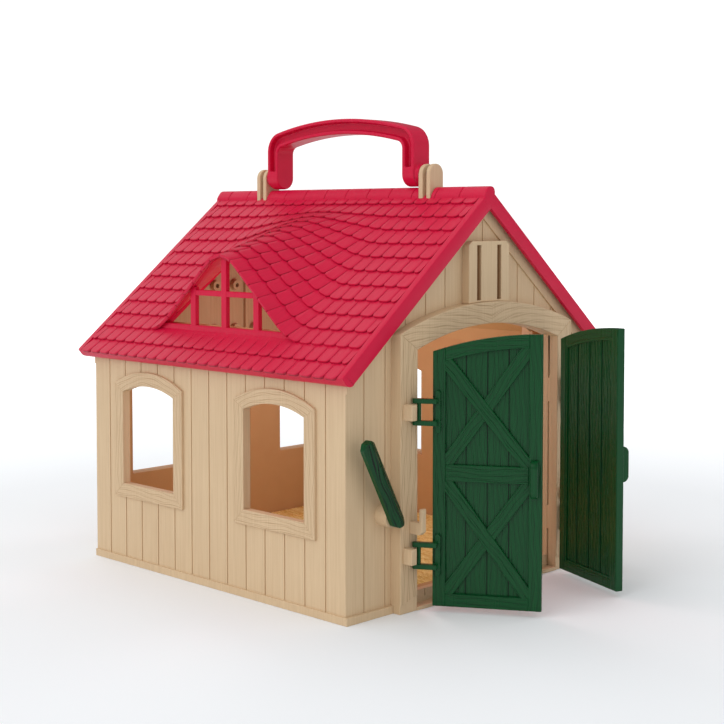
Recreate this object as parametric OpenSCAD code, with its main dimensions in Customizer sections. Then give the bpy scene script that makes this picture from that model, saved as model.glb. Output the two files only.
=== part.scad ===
// Toy barn with opening doors: a moulded farm stable with a dormer roof, two hinged
// doors, two turning latch bars and a folding carry handle.
// Origin: centre of the underside. X runs across the front gable, Y runs back along
// the ridge, Z is up. The doors are in the gable at -Y.

/* [House] */
// Width across the side walls
house_w = 230; // [222:1:240]
// Length from gable to gable
house_l = 232.8; // [228:0.4:244]
// Thickness of the outer wall shells
shell_t = 4; // [3:0.1:4.6]
// Thickness of the inner wall liners
liner_t = 4.3; // [3.6:0.1:5]
// Width of one moulded wall plank
plank_w = 16.8; // [12:0.2:22]
// Width of the groove between planks
groove_w = 0.9; // [0.5:0.1:1.5]
// Depth of the groove between planks
groove_d = 0.6; // [0.3:0.1:1]
// Height of the liners on the gable ends
gable_liner_top = 136; // [130:1:140]
// Distance from the roof surface down to the lower edge of the raking boards
rake_drop = 17.4; // [15:0.1:20]
// Distance that the raking boards stand out
rake_proud = 1.2; // [0.8:0.1:1.6]

/* [Floor] */
// Height of the floor tray
plinth_h = 4.5; // [4:0.1:6]
// Distance that the floor tray stands out past the walls
plinth_lip = 2; // [1:0.1:3]
// Thickness of the straw mat
straw_t = 4; // [3:0.1:6]
// Play round the straw mat
straw_play = 0.3; // [0.1:0.1:0.8]
// Height of the threshold between the casing legs
threshold_h = 2; // [1.2:0.1:2.6]
// Depth of the hollows under the tray
tray_hollow = 2; // [1:0.1:2.6]
// Width of the tray's lower rim and ribs
tray_rim = 14; // [10:1:20]

/* [Windows] */
// Width of a window opening
window_w = 52; // [40:1:56]
// Height of a window sill
window_sill = 52.1; // [45:0.1:60]
// Height at which a window arch starts
window_spring = 111.4; // [100:0.1:114]
// Rise of a window arch
window_rise = 5.3; // [3:0.1:7]
// Distance of a side window from the middle of its wall
side_window_y = 59; // [50:1:66]
// Distance of a rear window from the middle of its wall
rear_window_x = 66; // [50:1:68]
// Width of the frame round a window
surround_w = 8.4; // [6:0.1:10]
// Height of the window frame over the planks
surround_proud = 1.5; // [1:0.1:2.4]

/* [Doorway] */
// Width of the doorway
doorway_w = 130.4; // [126:0.2:134]
// Height at which the doorway arch starts
doorway_spring = 148.5; // [144:0.1:150]
// Rise of the doorway arch
doorway_rise = 11.5; // [8:0.1:13]
// Width of the casing legs
casing_w = 14; // [12:0.1:16]
// Height at which the casing's outer arch starts over where the doorway arch starts
casing_step = 9.5; // [7:0.1:11]
// Rise of the casing's outer arch
casing_rise = 14.9; // [12:0.1:16]
// Distance that the casing stands out from the wall
casing_proud = 7.7; // [6.5:0.1:8.5]
// Width of the vent panel over the doorway
vent_w = 37.2; // [34:0.2:40]
// Distance that the vent panel stands out from the wall
vent_proud = 5.7; // [4:0.1:6.2]
// Height of the vent panel over the casing
vent_h = 36; // [30:0.1:36.1]
// Width of a vent slot
vent_slot_w = 3.7; // [2:0.1:5]
// Distance of a vent slot from the middle
vent_slot_x = 9.3; // [7:0.1:11]

/* [Doors] */
// Thickness of a door
door_t = 5.1; // [4.4:0.1:5.6]
// Height of the lower edge of the doors
door_low = 3.7; // [3.2:0.1:6]
// Gap between the closed doors
door_gap = 1; // [0.8:0.1:2]
// Clearance between a door top and the doorway arch
door_top_gap = 1.7; // [1.2:0.1:3]
// Width of the stiles along the door edges
stile_w = 7.2; // [6:0.1:9]
// Width of the rails and cross braces
brace_w = 7.2; // [5:0.1:9]
// Height of the middle of the mid rail
mid_rail_z = 79.6; // [70:0.1:90]
// Width of the mid rail
mid_rail_w = 9.5; // [7:0.1:12]
// Depth of the planks below the frame on the outer face
panel_sink = 1.4; // [0.8:0.1:1.8]
// Depth of the planks below the frame on the inner face
inner_sink = 0.8; // [0.4:0.1:1.2]
// Number of planks across a door
door_planks = 4; // [3:1:6]
// Angle of the left door in the rest pose
left_open = 58; // [0:1:100]
// Angle of the right door in the rest pose
right_open = 69; // [0:1:100]
// Length of a door pull
pull_l = 21; // [16:0.5:26]
// Width of a door pull
pull_w = 3.4; // [2.6:0.1:4.5]
// Distance that a door pull stands out
pull_proud = 5.5; // [4.5:0.1:6.5]
// Height of the middle of a door pull
pull_z = 78; // [70:0.5:90]

/* [Hinges] */
// Distance of a hinge pin outside the doorway's edge
pin_side = 3.6; // [3.3:0.1:4.3]
// Distance of a hinge pin in front of the casing
pin_out = 4.25; // [4:0.05:4.8]
// Distance from the pin to the edge of the door
pin_to_door = 7; // [6.4:0.1:7.6]
// Radius of a hinge pin
pin_r = 1.15; // [0.9:0.05:1.3]
// Height of the middle of the lower hinges
low_hinge_z = 33.1; // [30:0.1:34]
// Height of the middle of the upper hinges
high_hinge_z = 114.2; // [100:0.1:125]
// Height of a hinge over both arms
hinge_h = 15.2; // [13:0.1:17]
// Thickness of a hinge arm
arm_t = 2.8; // [2:0.1:3.4]
// Depth of a hinge arm
arm_d = 3.6; // [3:0.1:3.6]
// Length of a hinge leaf
leaf_h = 24; // [20:0.5:26]
// Width of a hinge leaf
leaf_w = 3; // [2.6:0.1:4]

/* [Latches] */
// Distance of a latch pivot outside the doorway's edge
latch_side = 21.3; // [20.8:0.1:24]
// Height of a latch pivot
latch_z = 57; // [56:0.1:62]
// Length of a latch bar
latch_l = 56; // [50:0.5:60]
// Length of a latch bar past its pivot, at the short end
latch_tail = 5.5; // [5:0.1:6.5]
// Width of a latch bar
latch_w = 9; // [7.5:0.1:9.4]
// Thickness of a latch bar
latch_t = 5.2; // [4:0.1:5.6]
// Angle of the left latch bar above level in the rest pose
latch_rest = 62; // [0:1:90]
// Radius of the latch's turning shaft
latch_shaft_r = 2.5; // [2:0.1:3]
// Radius of the wall boss behind the latch bar
latch_boss_r = 6; // [5:0.1:6.4]

/* [Roof] */
// Slope of the roof
roof_pitch = 39.6; // [38:0.1:41]
// Height at which the two roof surfaces would meet, over the top of the doorway
gable_rise = 79.6; // [78:0.1:83]
// Distance of the upper eave edge from the middle
eave_x = 125; // [124:0.5:128]
// Thickness of the roof skin
roof_skin = 3; // [2.4:0.1:3.4]
// Depth of the roof edges
roof_edge = 8.9; // [8:0.1:10]
// Thickness of the turned-down roof edges
skirt_t = 2.5; // [2:0.1:3]
// Overhang of the roof past the gables
overhang = 7; // [6:0.1:9]
// Number of tile courses on each slope
courses = 13; // [9:1:16]
// Thickness of a tile at its lower edge
tile_t = 1.3; // [0.6:0.1:1.6]
// Height of the ridge caps over the meeting line
cap_rise = 1.8; // [1.4:0.1:2.2]
// Length of one ridge cap
cap_l = 19.4; // [15:0.1:25]

/* [Dormer] */
// Distance of the dormer window from the middle of the house
dormer_x = 104.1; // [100:0.1:106]
// Height of the dormer crest over the roof surface at the window
hood_h = 47.2; // [40:0.1:49]
// Half width of the dormer hood
hood_half = 68; // [62:0.5:72]
// Distance of the dormer's upper end from the middle of the house
hood_end_x = 13.4; // [12:0.1:20]
// Thickness of the dormer window
light_t = 3; // [2:0.1:4]
// Width of a dormer window bar
bar_w = 5; // [3:0.1:6]
// Distance between the upright bars
bar_pitch = 29.4; // [24:0.1:32]
// Height of the crossbar over the sill
crossbar_z = 21.5; // [18:0.5:26]
// Height of the crossbar itself
crossbar_h = 4.3; // [3:0.1:6]
// Width of the window's rim under the hood
light_rim = 2.4; // [1.6:0.1:3.4]

/* [Handle] */
// Height of the handle pivot over the line where the roof surfaces would meet
pivot_rise = 10; // [9.8:0.1:12]
// Outer width of the handle along the ridge
handle_l = 135; // [125:1:136]
// Height of the handle over its pivot
handle_h = 36.9; // [34:0.1:45]
// Depth of the grip and the legs
grip_d = 10; // [8:0.1:12]
// Width of the handle across the ridge
grip_w = 15.4; // [12:0.1:15.6]
// Radius of the grip's top arch
grip_arch_r = 250; // [200:5:400]
// Radius of the handle's outer corners
handle_corner = 13; // [11:0.5:16]
// Width of the rims round the handle's hollow sides
rim_w = 2.4; // [1.6:0.1:3]
// Depth of the handle's hollow sides
hollow_d = 4.6; // [2:0.1:5]
// Radius of the handle pins
handle_pin_r = 2.5; // [2:0.1:3]
// Distance from the handle's legs to the lugs
lug_room = 3; // [2.6:0.1:4.5]
// Thickness of a lug plate
lug_t = 3.3; // [2.6:0.1:3.6]
// Gap between the two plates of a lug
lug_gap = 2.9; // [2:0.1:3.4]
// Width of a lug
lug_w = 12.4; // [10:0.2:13]
// Depth of the rafters that carry the lugs
rafter_d = 7; // [5:0.1:9]

/* [Fits] */
// Clearance of a turning shaft in its hole, on the radius
run_fit = 0.07; // [0.03:0.01:0.09]
// Clearance between parts that move past each other
swing_gap = 0.3; // [0.25:0.05:0.4]
// Clearance between fixed parts
seat_gap = 0.1; // [0.05:0.05:0.15]
// Radius of a screw shank
screw_r = 1.1; // [0.9:0.05:1.2]
// Radius of a screw head
screw_head_r = 2.2; // [1.9:0.1:2.6]
// Height of a screw head
screw_head_h = 1.5; // [1:0.1:1.6]

/* [Hidden] */
$fn = 64;

wall_color = "#D3B78F";
inner_color = "#B07548";
roof_color = "#C8203F";
door_color = "#1F4A2E";
straw_color = "#D8BE62";
steel_color = "#B8BABD";

reach = 400;
over = 1;
half_w = house_w / 2;
half_l = house_l / 2;
room_x = half_w - shell_t - liner_t;
room_y = half_l - shell_t - liner_t;
straw_top = plinth_h + straw_t;
door_sill = straw_top + 0.3;
doorway_top = doorway_spring + doorway_rise;
casing_spring = doorway_spring + casing_step;
casing_top = casing_spring + casing_rise;
ridge_z = doorway_top + gable_rise;
pivot_z = ridge_z + pivot_rise;
handle_top = pivot_z + handle_h;
pin_x = doorway_w / 2 + pin_side;
latch_x = doorway_w / 2 + latch_side;
pitch_tan = tan(roof_pitch);
skin_drop = roof_skin / cos(roof_pitch);
casing_y = -half_l - casing_proud;
casing_half = doorway_w / 2 + casing_w;
pin_y = casing_y - pin_out;
face_v = pin_out - 0.25;
door_w = pin_x - pin_to_door - door_gap / 2;
door_arch_r = arc_r(doorway_w / 2, doorway_rise);
door_arch_z = doorway_top - door_arch_r;
casing_arch_r = arc_r(casing_half, casing_rise);
casing_arch_z = casing_top - casing_arch_r;
knuckle_half = hinge_h / 2 - arm_t - swing_gap;
knuckle_l = 8;
knuckle_wrap = 0.5;
pull_x = pin_to_door + door_w - stile_w / 2 - 0.4;
peg_r = 1.1;
peg_l = 2.6;
slope_l = eave_x / cos(roof_pitch);
course_l = slope_l / courses;
pocket_y = half_l + overhang - skirt_t;
cap_right = 3.5;
cap_left = 8;
latch_back_y = casing_y - 1.4;
latch_boss_y = latch_back_y + swing_gap;
hook_floor_z = latch_z - latch_w / 2 - swing_gap;
hook_slot = latch_back_y - latch_t - swing_gap;
hook_t = 2.2;
hook_base = 7;
hook_lip = 7.8;
hook_x0 = pin_x - 0.8;
hook_w = 6.5;
latch_shaft_y = -half_l + shell_t + 0.15;
leaf_x = pin_to_door + 1.7 + leaf_w / 2;
arm_tail = pin_out - arm_d / 2 - 0.45;
washer_r = 4;
hood_front_x = dormer_x + light_t / 2 + 0.9;
hood_skin = skin_drop - 0.4;
hood_rows = 8;
hood_cols = 30;
hood_gap = 0.45;
sill_z = roof_z(dormer_x + light_t / 2) + 2.6;
handle_half = handle_l / 2;
lug_y = handle_half + lug_room;
lug_outer = lug_y + 2 * lug_t + lug_gap;
slot_play = 0.5;
frame_foot_z = window_spring + window_rise + 7.3;
frame_foot_h = 30;
frame_foot_w = 10;
gusset_z = ridge_z - 34.6;
lug_bridge_h = 20;
foot_r = grip_w / 2;
side_screw_y = 90;
gable_screw_x = 92;
liner_mid_x = half_w - shell_t - liner_t / 2;
liner_mid_y = half_l - shell_t - liner_t / 2;
screw_bite = 9;
casing_screw_x = doorway_w / 2 + casing_w / 2;
casing_screw_z = [16, doorway_spring - 12.5];
casing_bite = 5;
frame_screw_z = frame_foot_z + 5;
vent_peg_z = [casing_top + 7.1, casing_top + 29.1];
boss_x = 18;
boss_z = [gable_liner_top + 8, gable_liner_top + 39];
boss_h = 4;
rib_x = 9;
rib_h = 60;
rafter_screw_s = [48, 118];

function arc_r(half, rise) = (half * half + rise * rise) / (2 * rise);
function roof_z(x) = ridge_z - pitch_tan * abs(x);
function under_z(x) = roof_z(x) - skin_drop - seat_gap;
// Share of the hood's full height left at distance x from the middle of the house
function hood_share(x) = (x - hood_end_x) / (dormer_x - hood_end_x);
function hood_z(x, y) = roof_z(x) + hood_h * hood_share(x) * pow(cos(90 * y / hood_half), 2);
// Half width at which the hood stands sink above the roof surface
function hood_edge(x, sink) = hood_half * acos(sqrt(sink / (hood_h * hood_share(x)))) / 90;

module arched(half, low, spring, rise) {
    translate([-half, low]) square([2 * half, spring - low]);
    intersection() {
        translate([-half, spring - over]) square([2 * half, rise + over]);
        translate([0, spring + rise - arc_r(half, rise)]) circle(arc_r(half, rise), $fn = 180);
    }
}

// Extrudes an outline drawn in X and Z from the plane y towards -Y
module on_gable(y, depth) translate([0, y, 0]) rotate([90, 0, 0]) linear_extrude(depth) children();

// Extrudes an outline drawn in Y and Z from the plane x towards +X
module on_side(x, depth) translate([x, 0, 0]) rotate([90, 0, 90]) linear_extrude(depth) children();

module both_x() {
    children();
    mirror([1, 0, 0]) children();
}

module both_y() {
    children();
    mirror([0, 1, 0]) children();
}

module under_roof() on_gable(reach / 2, reach)
    polygon([[-reach / 2, 0], [reach / 2, 0], [reach / 2, under_z(0) - pitch_tan * reach / 2],
        [0, under_z(0)], [-reach / 2, under_z(0) - pitch_tan * reach / 2]]);

// Ring segment seen from above with mitred ends, for the wall at +X
module side_ring(outer_x, outer_y, t) polygon([[outer_x, -outer_y], [outer_x, outer_y],
    [outer_x - t, outer_y - t], [outer_x - t, t - outer_y]]);

// Ring segment seen from above with mitred ends, for the wall at +Y
module gable_ring(outer_x, outer_y, t) polygon([[-outer_x, outer_y], [outer_x, outer_y],
    [outer_x - t, outer_y - t], [t - outer_x, outer_y - t]]);

module window_hole() arched(window_w / 2, window_sill, window_spring, window_rise);

module surround() difference() {
    arched(window_w / 2 + surround_w, window_sill - surround_w, window_spring + window_rise,
        surround_w);
    window_hole();
}

module doorway_hole(low) arched(doorway_w / 2, low, doorway_spring, doorway_rise);

module screw(length) {
    cylinder(h = length, r = screw_r);
    translate([0, 0, -screw_head_h]) cylinder(h = screw_head_h, r = screw_head_r);
}

module floor_tray() color(wall_color) difference() {
    union() {
        translate([-half_w - plinth_lip, -half_l - plinth_lip, 0])
            cube([house_w + 2 * plinth_lip, house_l + 2 * plinth_lip, plinth_h]);
        translate([-doorway_w / 2 + seat_gap, casing_y, 0])
            cube([doorway_w - 2 * seat_gap, casing_proud, threshold_h]);
    }
    translate([-casing_half - seat_gap, -half_l - plinth_lip - over, threshold_h])
        cube([2 * (casing_half + seat_gap), plinth_lip + over, plinth_h]);
    both_x() translate([doorway_w / 2 - seat_gap, -half_l - plinth_lip - over, -over])
        cube([casing_w + 2 * seat_gap, plinth_lip + over, plinth_h + 2 * over]);
    both_x() both_y() translate([tray_rim / 2, tray_rim / 2, -over])
        cube([half_w - 1.5 * tray_rim, half_l - 1.5 * tray_rim, tray_hollow + over]);
    each_floor_screw() {
        translate([0, 0, -over]) cylinder(h = screw_head_h + 0.3 + over, r = screw_head_r + 0.3);
        cylinder(h = plinth_h + over, r = screw_r + 0.2);
    }
}

module each_floor_screw() {
    both_x() both_y() translate([liner_mid_x, side_screw_y, 0]) children();
    both_x() both_y() translate([gable_screw_x, liner_mid_y, 0]) children();
}

module floor_screws() color(steel_color) each_floor_screw()
    translate([0, 0, screw_head_h + 0.3]) screw(plinth_h + screw_bite - screw_head_h - 0.3);

module floor_pilots() each_floor_screw() cylinder(h = plinth_h + screw_bite, r = screw_r + 0.05);

module straw_mat() color(straw_color) translate([-room_x + straw_play, -room_y + straw_play, plinth_h])
    cube([2 * (room_x - straw_play), 2 * (room_y - straw_play), straw_t]);

module right_wall() color(wall_color) difference() {
    union() {
        difference() {
            intersection() {
                translate([0, 0, plinth_h]) linear_extrude(ridge_z) side_ring(half_w, half_l, shell_t);
                under_roof();
            }
            for (i = [-floor((half_l - 8) / plank_w):floor((half_l - 8) / plank_w)])
                translate([half_w - groove_d, i * plank_w - groove_w / 2, 0])
                    cube([groove_d + over, groove_w, ridge_z]);
        }
        both_y() translate([0, side_window_y, 0]) on_side(half_w - shell_t / 2,
            shell_t / 2 + surround_proud) surround();
    }
    both_y() translate([0, side_window_y, 0]) on_side(half_w - shell_t - over, reach) window_hole();
}

module left_wall() mirror([1, 0, 0]) right_wall();

module right_liner() color(inner_color) difference() {
    intersection() {
        translate([0, 0, plinth_h]) linear_extrude(ridge_z)
            side_ring(half_w - shell_t, half_l - shell_t, liner_t);
        under_roof();
    }
    both_y() translate([0, side_window_y, 0]) on_side(room_x - over, reach) window_hole();
    floor_pilots();
    frame_pilots();
}

module left_liner() mirror([1, 0, 0]) right_liner();

// Plain gable shell at +Y with plank grooves and raking boards
module gable_shell() {
    difference() {
        intersection() {
            translate([0, 0, plinth_h]) linear_extrude(ridge_z) gable_ring(half_w, half_l, shell_t);
            under_roof();
        }
        for (i = [-floor((half_w - 8) / plank_w):floor((half_w - 8) / plank_w)])
            translate([i * plank_w - groove_w / 2, half_l - groove_d, 0])
                cube([groove_w, groove_d + over, ridge_z]);
    }
    intersection() {
        on_gable(half_l + rake_proud, rake_proud + shell_t / 2) rake_board(0);
        under_roof();
        linear_extrude(ridge_z) {
            gable_ring(half_w, half_l, shell_t);
            translate([-half_w, half_l]) square([house_w, rake_proud]);
        }
    }
}

// Raking board along both roof slopes of a gable, its lower edge moved down by a gap
module rake_board(gap) polygon([
    [0, ridge_z], [half_w, roof_z(half_w)], [half_w, roof_z(half_w) - rake_drop - gap],
    [0, ridge_z - rake_drop - gap], [-half_w, roof_z(half_w) - rake_drop - gap], [-half_w, roof_z(half_w)]]);

module front_wall() color(wall_color) difference() {
    union() {
        mirror([0, 1, 0]) gable_shell();
        both_x() translate([latch_x, -half_l + over, latch_z]) rotate([90, 0, 0])
            cylinder(h = -latch_boss_y - half_l + over, r = latch_boss_r);
    }
    on_gable(over - half_l + shell_t, reach) doorway_hole(door_sill);
    both_x() translate([latch_x, -half_l + shell_t + over, latch_z]) rotate([90, 0, 0])
        cylinder(h = reach, r = latch_shaft_r + run_fit);
    on_gable(-half_l, reach) arched(casing_half + seat_gap, 0, casing_spring + seat_gap, casing_rise);
    casing_cylinders(screw_r + 0.2, over - half_l + shell_t, shell_t + 2 * over);
    vent_pegs(peg_r + seat_gap);
}

module rear_wall() color(wall_color) {
    difference() {
        union() {
            gable_shell();
            both_x() translate([rear_window_x, half_l + surround_proud, 0])
                on_gable(0, shell_t / 2 + surround_proud) surround();
            each_boss() translate([0, 0, -over]) cylinder(h = boss_h + over, r = 3.6);
            translate([rib_x, half_l - shell_t - 2.5, gable_liner_top + 2]) cube([2.4, 2.5 + over, rib_h]);
        }
        both_x() translate([rear_window_x, 0, 0]) on_gable(reach, reach) window_hole();
        each_boss() cylinder(h = reach, r = 1.5);
    }
}

// Places its children at the bosses inside the rear gable, z into the house
module each_boss() for (x = [-1, 0, 1], z = boss_z)
    translate([boss_x * x, half_l - shell_t, z]) rotate([90, 0, 0]) children();

module rear_liner() color(inner_color) difference() {
    translate([0, 0, plinth_h]) linear_extrude(gable_liner_top - plinth_h)
        gable_ring(half_w - shell_t, half_l - shell_t, liner_t);
    both_x() translate([rear_window_x, 0, 0]) on_gable(reach, reach) window_hole();
    floor_pilots();
}

module front_liner() color(inner_color) difference() {
    mirror([0, 1, 0]) translate([0, 0, plinth_h]) linear_extrude(gable_liner_top - plinth_h)
        gable_ring(half_w - shell_t, half_l - shell_t, liner_t);
    on_gable(0, reach) doorway_hole(door_sill);
    floor_pilots();
    both_x() translate([latch_x, 0, latch_z]) rotate([90, 0, 0]) cylinder(h = reach, r = washer_r + 1);
    casing_cylinders(screw_head_r + 0.8, 0, reach);
}

// Cylinders along -Y at the four casing screws
module casing_cylinders(r, y, length) both_x() for (z = casing_screw_z)
    translate([casing_screw_x, y, z]) rotate([90, 0, 0]) cylinder(h = length, r = r);

module casing_screws() color(steel_color) both_x() for (z = casing_screw_z)
    translate([casing_screw_x, -half_l + shell_t, z]) rotate([90, 0, 0]) screw(shell_t + casing_bite);

module door_casing() color(wall_color) difference() {
    union() {
        on_gable(-half_l, casing_proud) difference() {
            arched(casing_half, 0, casing_spring, casing_rise);
            doorway_hole(-over);
        }
        both_x() for (z = [low_hinge_z, high_hinge_z])
            translate([-pin_x - knuckle_l, casing_y - 2 * pin_out + 1.6, z - knuckle_half])
                cube([knuckle_l + knuckle_wrap, 2 * pin_out - 1.6 + over, 2 * knuckle_half]);
        both_x() latch_hook();
    }
    both_x() for (z = [low_hinge_z, high_hinge_z])
        translate([-pin_x, pin_y, z]) cylinder(h = hinge_h, r = pin_r + run_fit, center = true);
    casing_groove(0, low_hinge_z - hinge_h / 2);
    casing_groove(low_hinge_z + hinge_h / 2, high_hinge_z - hinge_h / 2);
    casing_groove(high_hinge_z + hinge_h / 2, doorway_spring);
    translate([-0.3, casing_y - over, doorway_spring + over]) cube([0.6, over + 0.6, reach]);
    translate([0, casing_y + casing_proud / 2, doorway_top])
        cube([11, 2.4, 3], center = true);
    casing_cylinders(screw_r + 0.05, 0, half_l + casing_bite + 0.5);
}

// Shadow groove where the casing meets the wall, inside the doorway
module casing_groove(z0, z1) both_x()
    translate([doorway_w / 2 - over, -half_l - 1, z0]) cube([over + 1.2, 1 + over, z1 - z0]);

// J-shaped rest that holds the latch bar when it lies across the door
module latch_hook() translate([-hook_x0 - hook_w, 0, 0]) rotate([90, 0, 90]) linear_extrude(hook_w)
    polygon([[casing_y + over, hook_floor_z - hook_base], [casing_y + over, hook_floor_z],
        [hook_slot, hook_floor_z], [hook_slot, hook_floor_z + hook_lip],
        [hook_slot - hook_t, hook_floor_z + hook_lip], [hook_slot - hook_t, hook_floor_z - hook_base + 2],
        [hook_slot - hook_t + 2, hook_floor_z - hook_base]]);

module vent_panel() color(wall_color) {
    difference() {
        on_gable(-half_l, vent_proud) difference() {
            translate([-vent_w / 2, casing_spring]) square([vent_w, casing_rise + vent_h]);
            translate([0, casing_arch_z]) circle(casing_arch_r + seat_gap, $fn = 180);
            rake_board(seat_gap);
        }
        both_x() translate([vent_slot_x - vent_slot_w / 2, -reach, casing_top + 1])
            cube([vent_slot_w, reach - half_l - vent_proud + 3, vent_h - 3.4]);
    }
    vent_pegs(peg_r);
}

module vent_pegs(r) for (z = vent_peg_z) translate([0, -half_l + peg_l, z]) rotate([90, 0, 0])
    cylinder(h = peg_l + over, r = r);

// Outline of one roof slope: x runs down the slope from the ridge line, y out from it
module slope_outline() polygon([
    for (i = [0:courses - 1]) each [[i * course_l, -tile_t / 2], [(i + 1) * course_l, tile_t / 2]],
    [slope_l, -roof_edge], [-roof_edge, -roof_edge], [-roof_edge, -tile_t / 2]]);

module on_slope(length) translate([0, 0, ridge_z]) rotate([0, roof_pitch, 0])
    translate([0, length / 2, 0]) rotate([90, 0, 0]) linear_extrude(length) children();

module roof_slope() difference() {
    intersection() {
        on_slope(2 * (half_l + overhang)) slope_outline();
        translate([seat_gap, -reach / 2, 0]) cube([reach, reach, reach]);
    }
    on_slope(2 * pocket_y) translate([-reach / 2, -reach - roof_skin])
        square([reach / 2 + slope_l - skirt_t, reach]);
    both_y() translate([-lug_w / 2 - slot_play, lug_y - slot_play, 0])
        cube([lug_w + 2 * slot_play, lug_outer - lug_y + 2 * slot_play, reach]);
    each_rafter_screw() translate([0, 0, -over]) cylinder(h = over + roof_skin - 0.9, r = screw_r + 0.05);
}

// Places its children at the rafter screws of the +X slope, z outwards from the skin's underside
module each_rafter_screw() both_y() for (s = rafter_screw_s)
    translate([0, lug_outer - lug_t / 2, ridge_z]) rotate([0, roof_pitch, 0])
        translate([s, 0, -roof_skin]) children();

module cap_outline() polygon([
    [-cap_left, roof_z(cap_left) - 1], [-cap_left, roof_z(cap_left) + 1],
    [-cap_left + 0.6, roof_z(cap_left) + 1.9], [-2.4, ridge_z + cap_rise - 0.1], [-1.4, ridge_z + cap_rise],
    [1.2, ridge_z + cap_rise], [2.8, ridge_z + cap_rise - 0.9], [cap_right, ridge_z + cap_rise - 2.6],
    [cap_right, roof_z(cap_right) + seat_gap], [0, ridge_z + seat_gap], [-over, ridge_z - over]]);

module ridge_caps() difference() {
    on_gable(half_l + overhang, 2 * (half_l + overhang)) cap_outline();
    for (y = [cap_l - half_l - overhang:cap_l:half_l + overhang - over])
        translate([-cap_left - over, y, ridge_z - 5]) rotate([0, 0, -12])
            cube([3 * cap_left, 0.7, 3.6 + cap_rise]);
    both_y() translate([-reach / 2, lug_y - slot_play, 0])
        cube([reach, lug_outer - lug_y + 2 * slot_play, reach]);
}

// Opening of the roof skin under the dormer hood, seen from above
module hood_hole() linear_extrude(reach) let (
    x0 = dormer_x + light_t / 2 + seat_gap,
    x1 = hood_end_x + 14,
    side = [for (i = [0:hood_rows]) let (x = x0 + (x1 - x0) * i / hood_rows) [-x, hood_edge(x, 2)]])
    polygon(concat(side, [for (i = [0:hood_rows]) [side[hood_rows - i][0], -side[hood_rows - i][1]]]));

// Curved shell of the dormer: an outer grid and an inner grid joined round the rim
module hood() let (
    nx = hood_rows, ny = hood_cols, row = hood_cols + 1,
    layer = (hood_rows + 1) * (hood_cols + 1),
    pts = [for (drop = [0, hood_skin]) for (i = [0:nx]) for (j = [0:ny])
        let (x = hood_front_x + (hood_end_x - hood_front_x) * i / nx, y = hood_half * (2 * j / ny - 1))
        [-x, y, hood_z(x, y) - drop]],
    top = [for (i = [0:nx - 1]) for (j = [0:ny - 1]) let (a = i * row + j)
        each [[a, a + 1, a + row + 1], [a, a + row + 1, a + row]]],
    low = [for (f = top) [f[0] + layer, f[2] + layer, f[1] + layer]],
    front = [for (j = [0:ny - 1]) each [[j, j + layer, j + 1], [j + 1, j + layer, j + 1 + layer]]],
    back = [for (j = [0:ny - 1]) let (a = nx * row + j)
        each [[a, a + 1, a + layer], [a + 1, a + 1 + layer, a + layer]]],
    right = [for (i = [0:nx - 1]) let (a = i * row) each [[a, a + row, a + layer],
        [a + row, a + row + layer, a + layer]]],
    left = [for (i = [0:nx - 1]) let (a = i * row + ny) each [[a, a + layer, a + row],
        [a + row, a + layer, a + row + layer]]])
    polyhedron(pts, concat(top, low, front, back, right, left), convexity = 6);

module roof_right() color(roof_color) roof_slope();

module roof_left() color(roof_color) {
    difference() {
        mirror([1, 0, 0]) roof_slope();
        hood_hole();
    }
    hood();
    ridge_caps();
}

// Outline of the dormer window seen from outside: a curve under the hood over a straight base
module light_outline(drop, base, half) let (
    x = dormer_x + light_t / 2, steps = 36,
    curve = [for (i = [0:steps]) let (y = half * (2 * i / steps - 1))
        [y, hood_z(x, y) - hood_skin - hood_gap - drop]])
    polygon(concat([[-half, base]], curve, [[half, base]]));

module dormer_window() color(roof_color) let (
    x = dormer_x + light_t / 2,
    outer_half = hood_edge(x, hood_skin + hood_gap),
    light_half = hood_edge(x, hood_skin + hood_gap + light_rim + sill_z - roof_z(x)) - 0.2)
    on_side(-x, light_t) difference() {
        light_outline(0, roof_z(x) - 2.5, outer_half);
        difference() {
            light_outline(light_rim, sill_z, light_half);
            for (y = [-1, 0, 1]) translate([y * bar_pitch - bar_w / 2, 0]) square([bar_w, reach]);
            translate([-bar_pitch, sill_z + crossbar_z - crossbar_h / 2])
                square([2 * bar_pitch, crossbar_h]);
        }
    }

// Frame outline in X and Z: two rafters with feet and a gusset at the top
module rafters() let (
    foot_x = room_x - seat_gap,
    drop = rafter_d / cos(roof_pitch),
    gusset_x = (under_z(0) - drop - gusset_z) / pitch_tan,
    inner_x = foot_x - frame_foot_w)
    difference() {
        polygon([[-foot_x, frame_foot_z], [-foot_x, under_z(foot_x)], [0, under_z(0)],
            [foot_x, under_z(foot_x)], [foot_x, frame_foot_z]]);
        polygon([[-inner_x, 0], [-inner_x, under_z(inner_x) - drop], [-gusset_x, gusset_z],
            [gusset_x, gusset_z], [inner_x, under_z(inner_x) - drop], [inner_x, 0]]);
    }

module lug_stem(low) {
    translate([-lug_w / 2, low]) square([lug_w, pivot_z - low]);
    translate([0, pivot_z]) circle(lug_w / 2);
}

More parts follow.
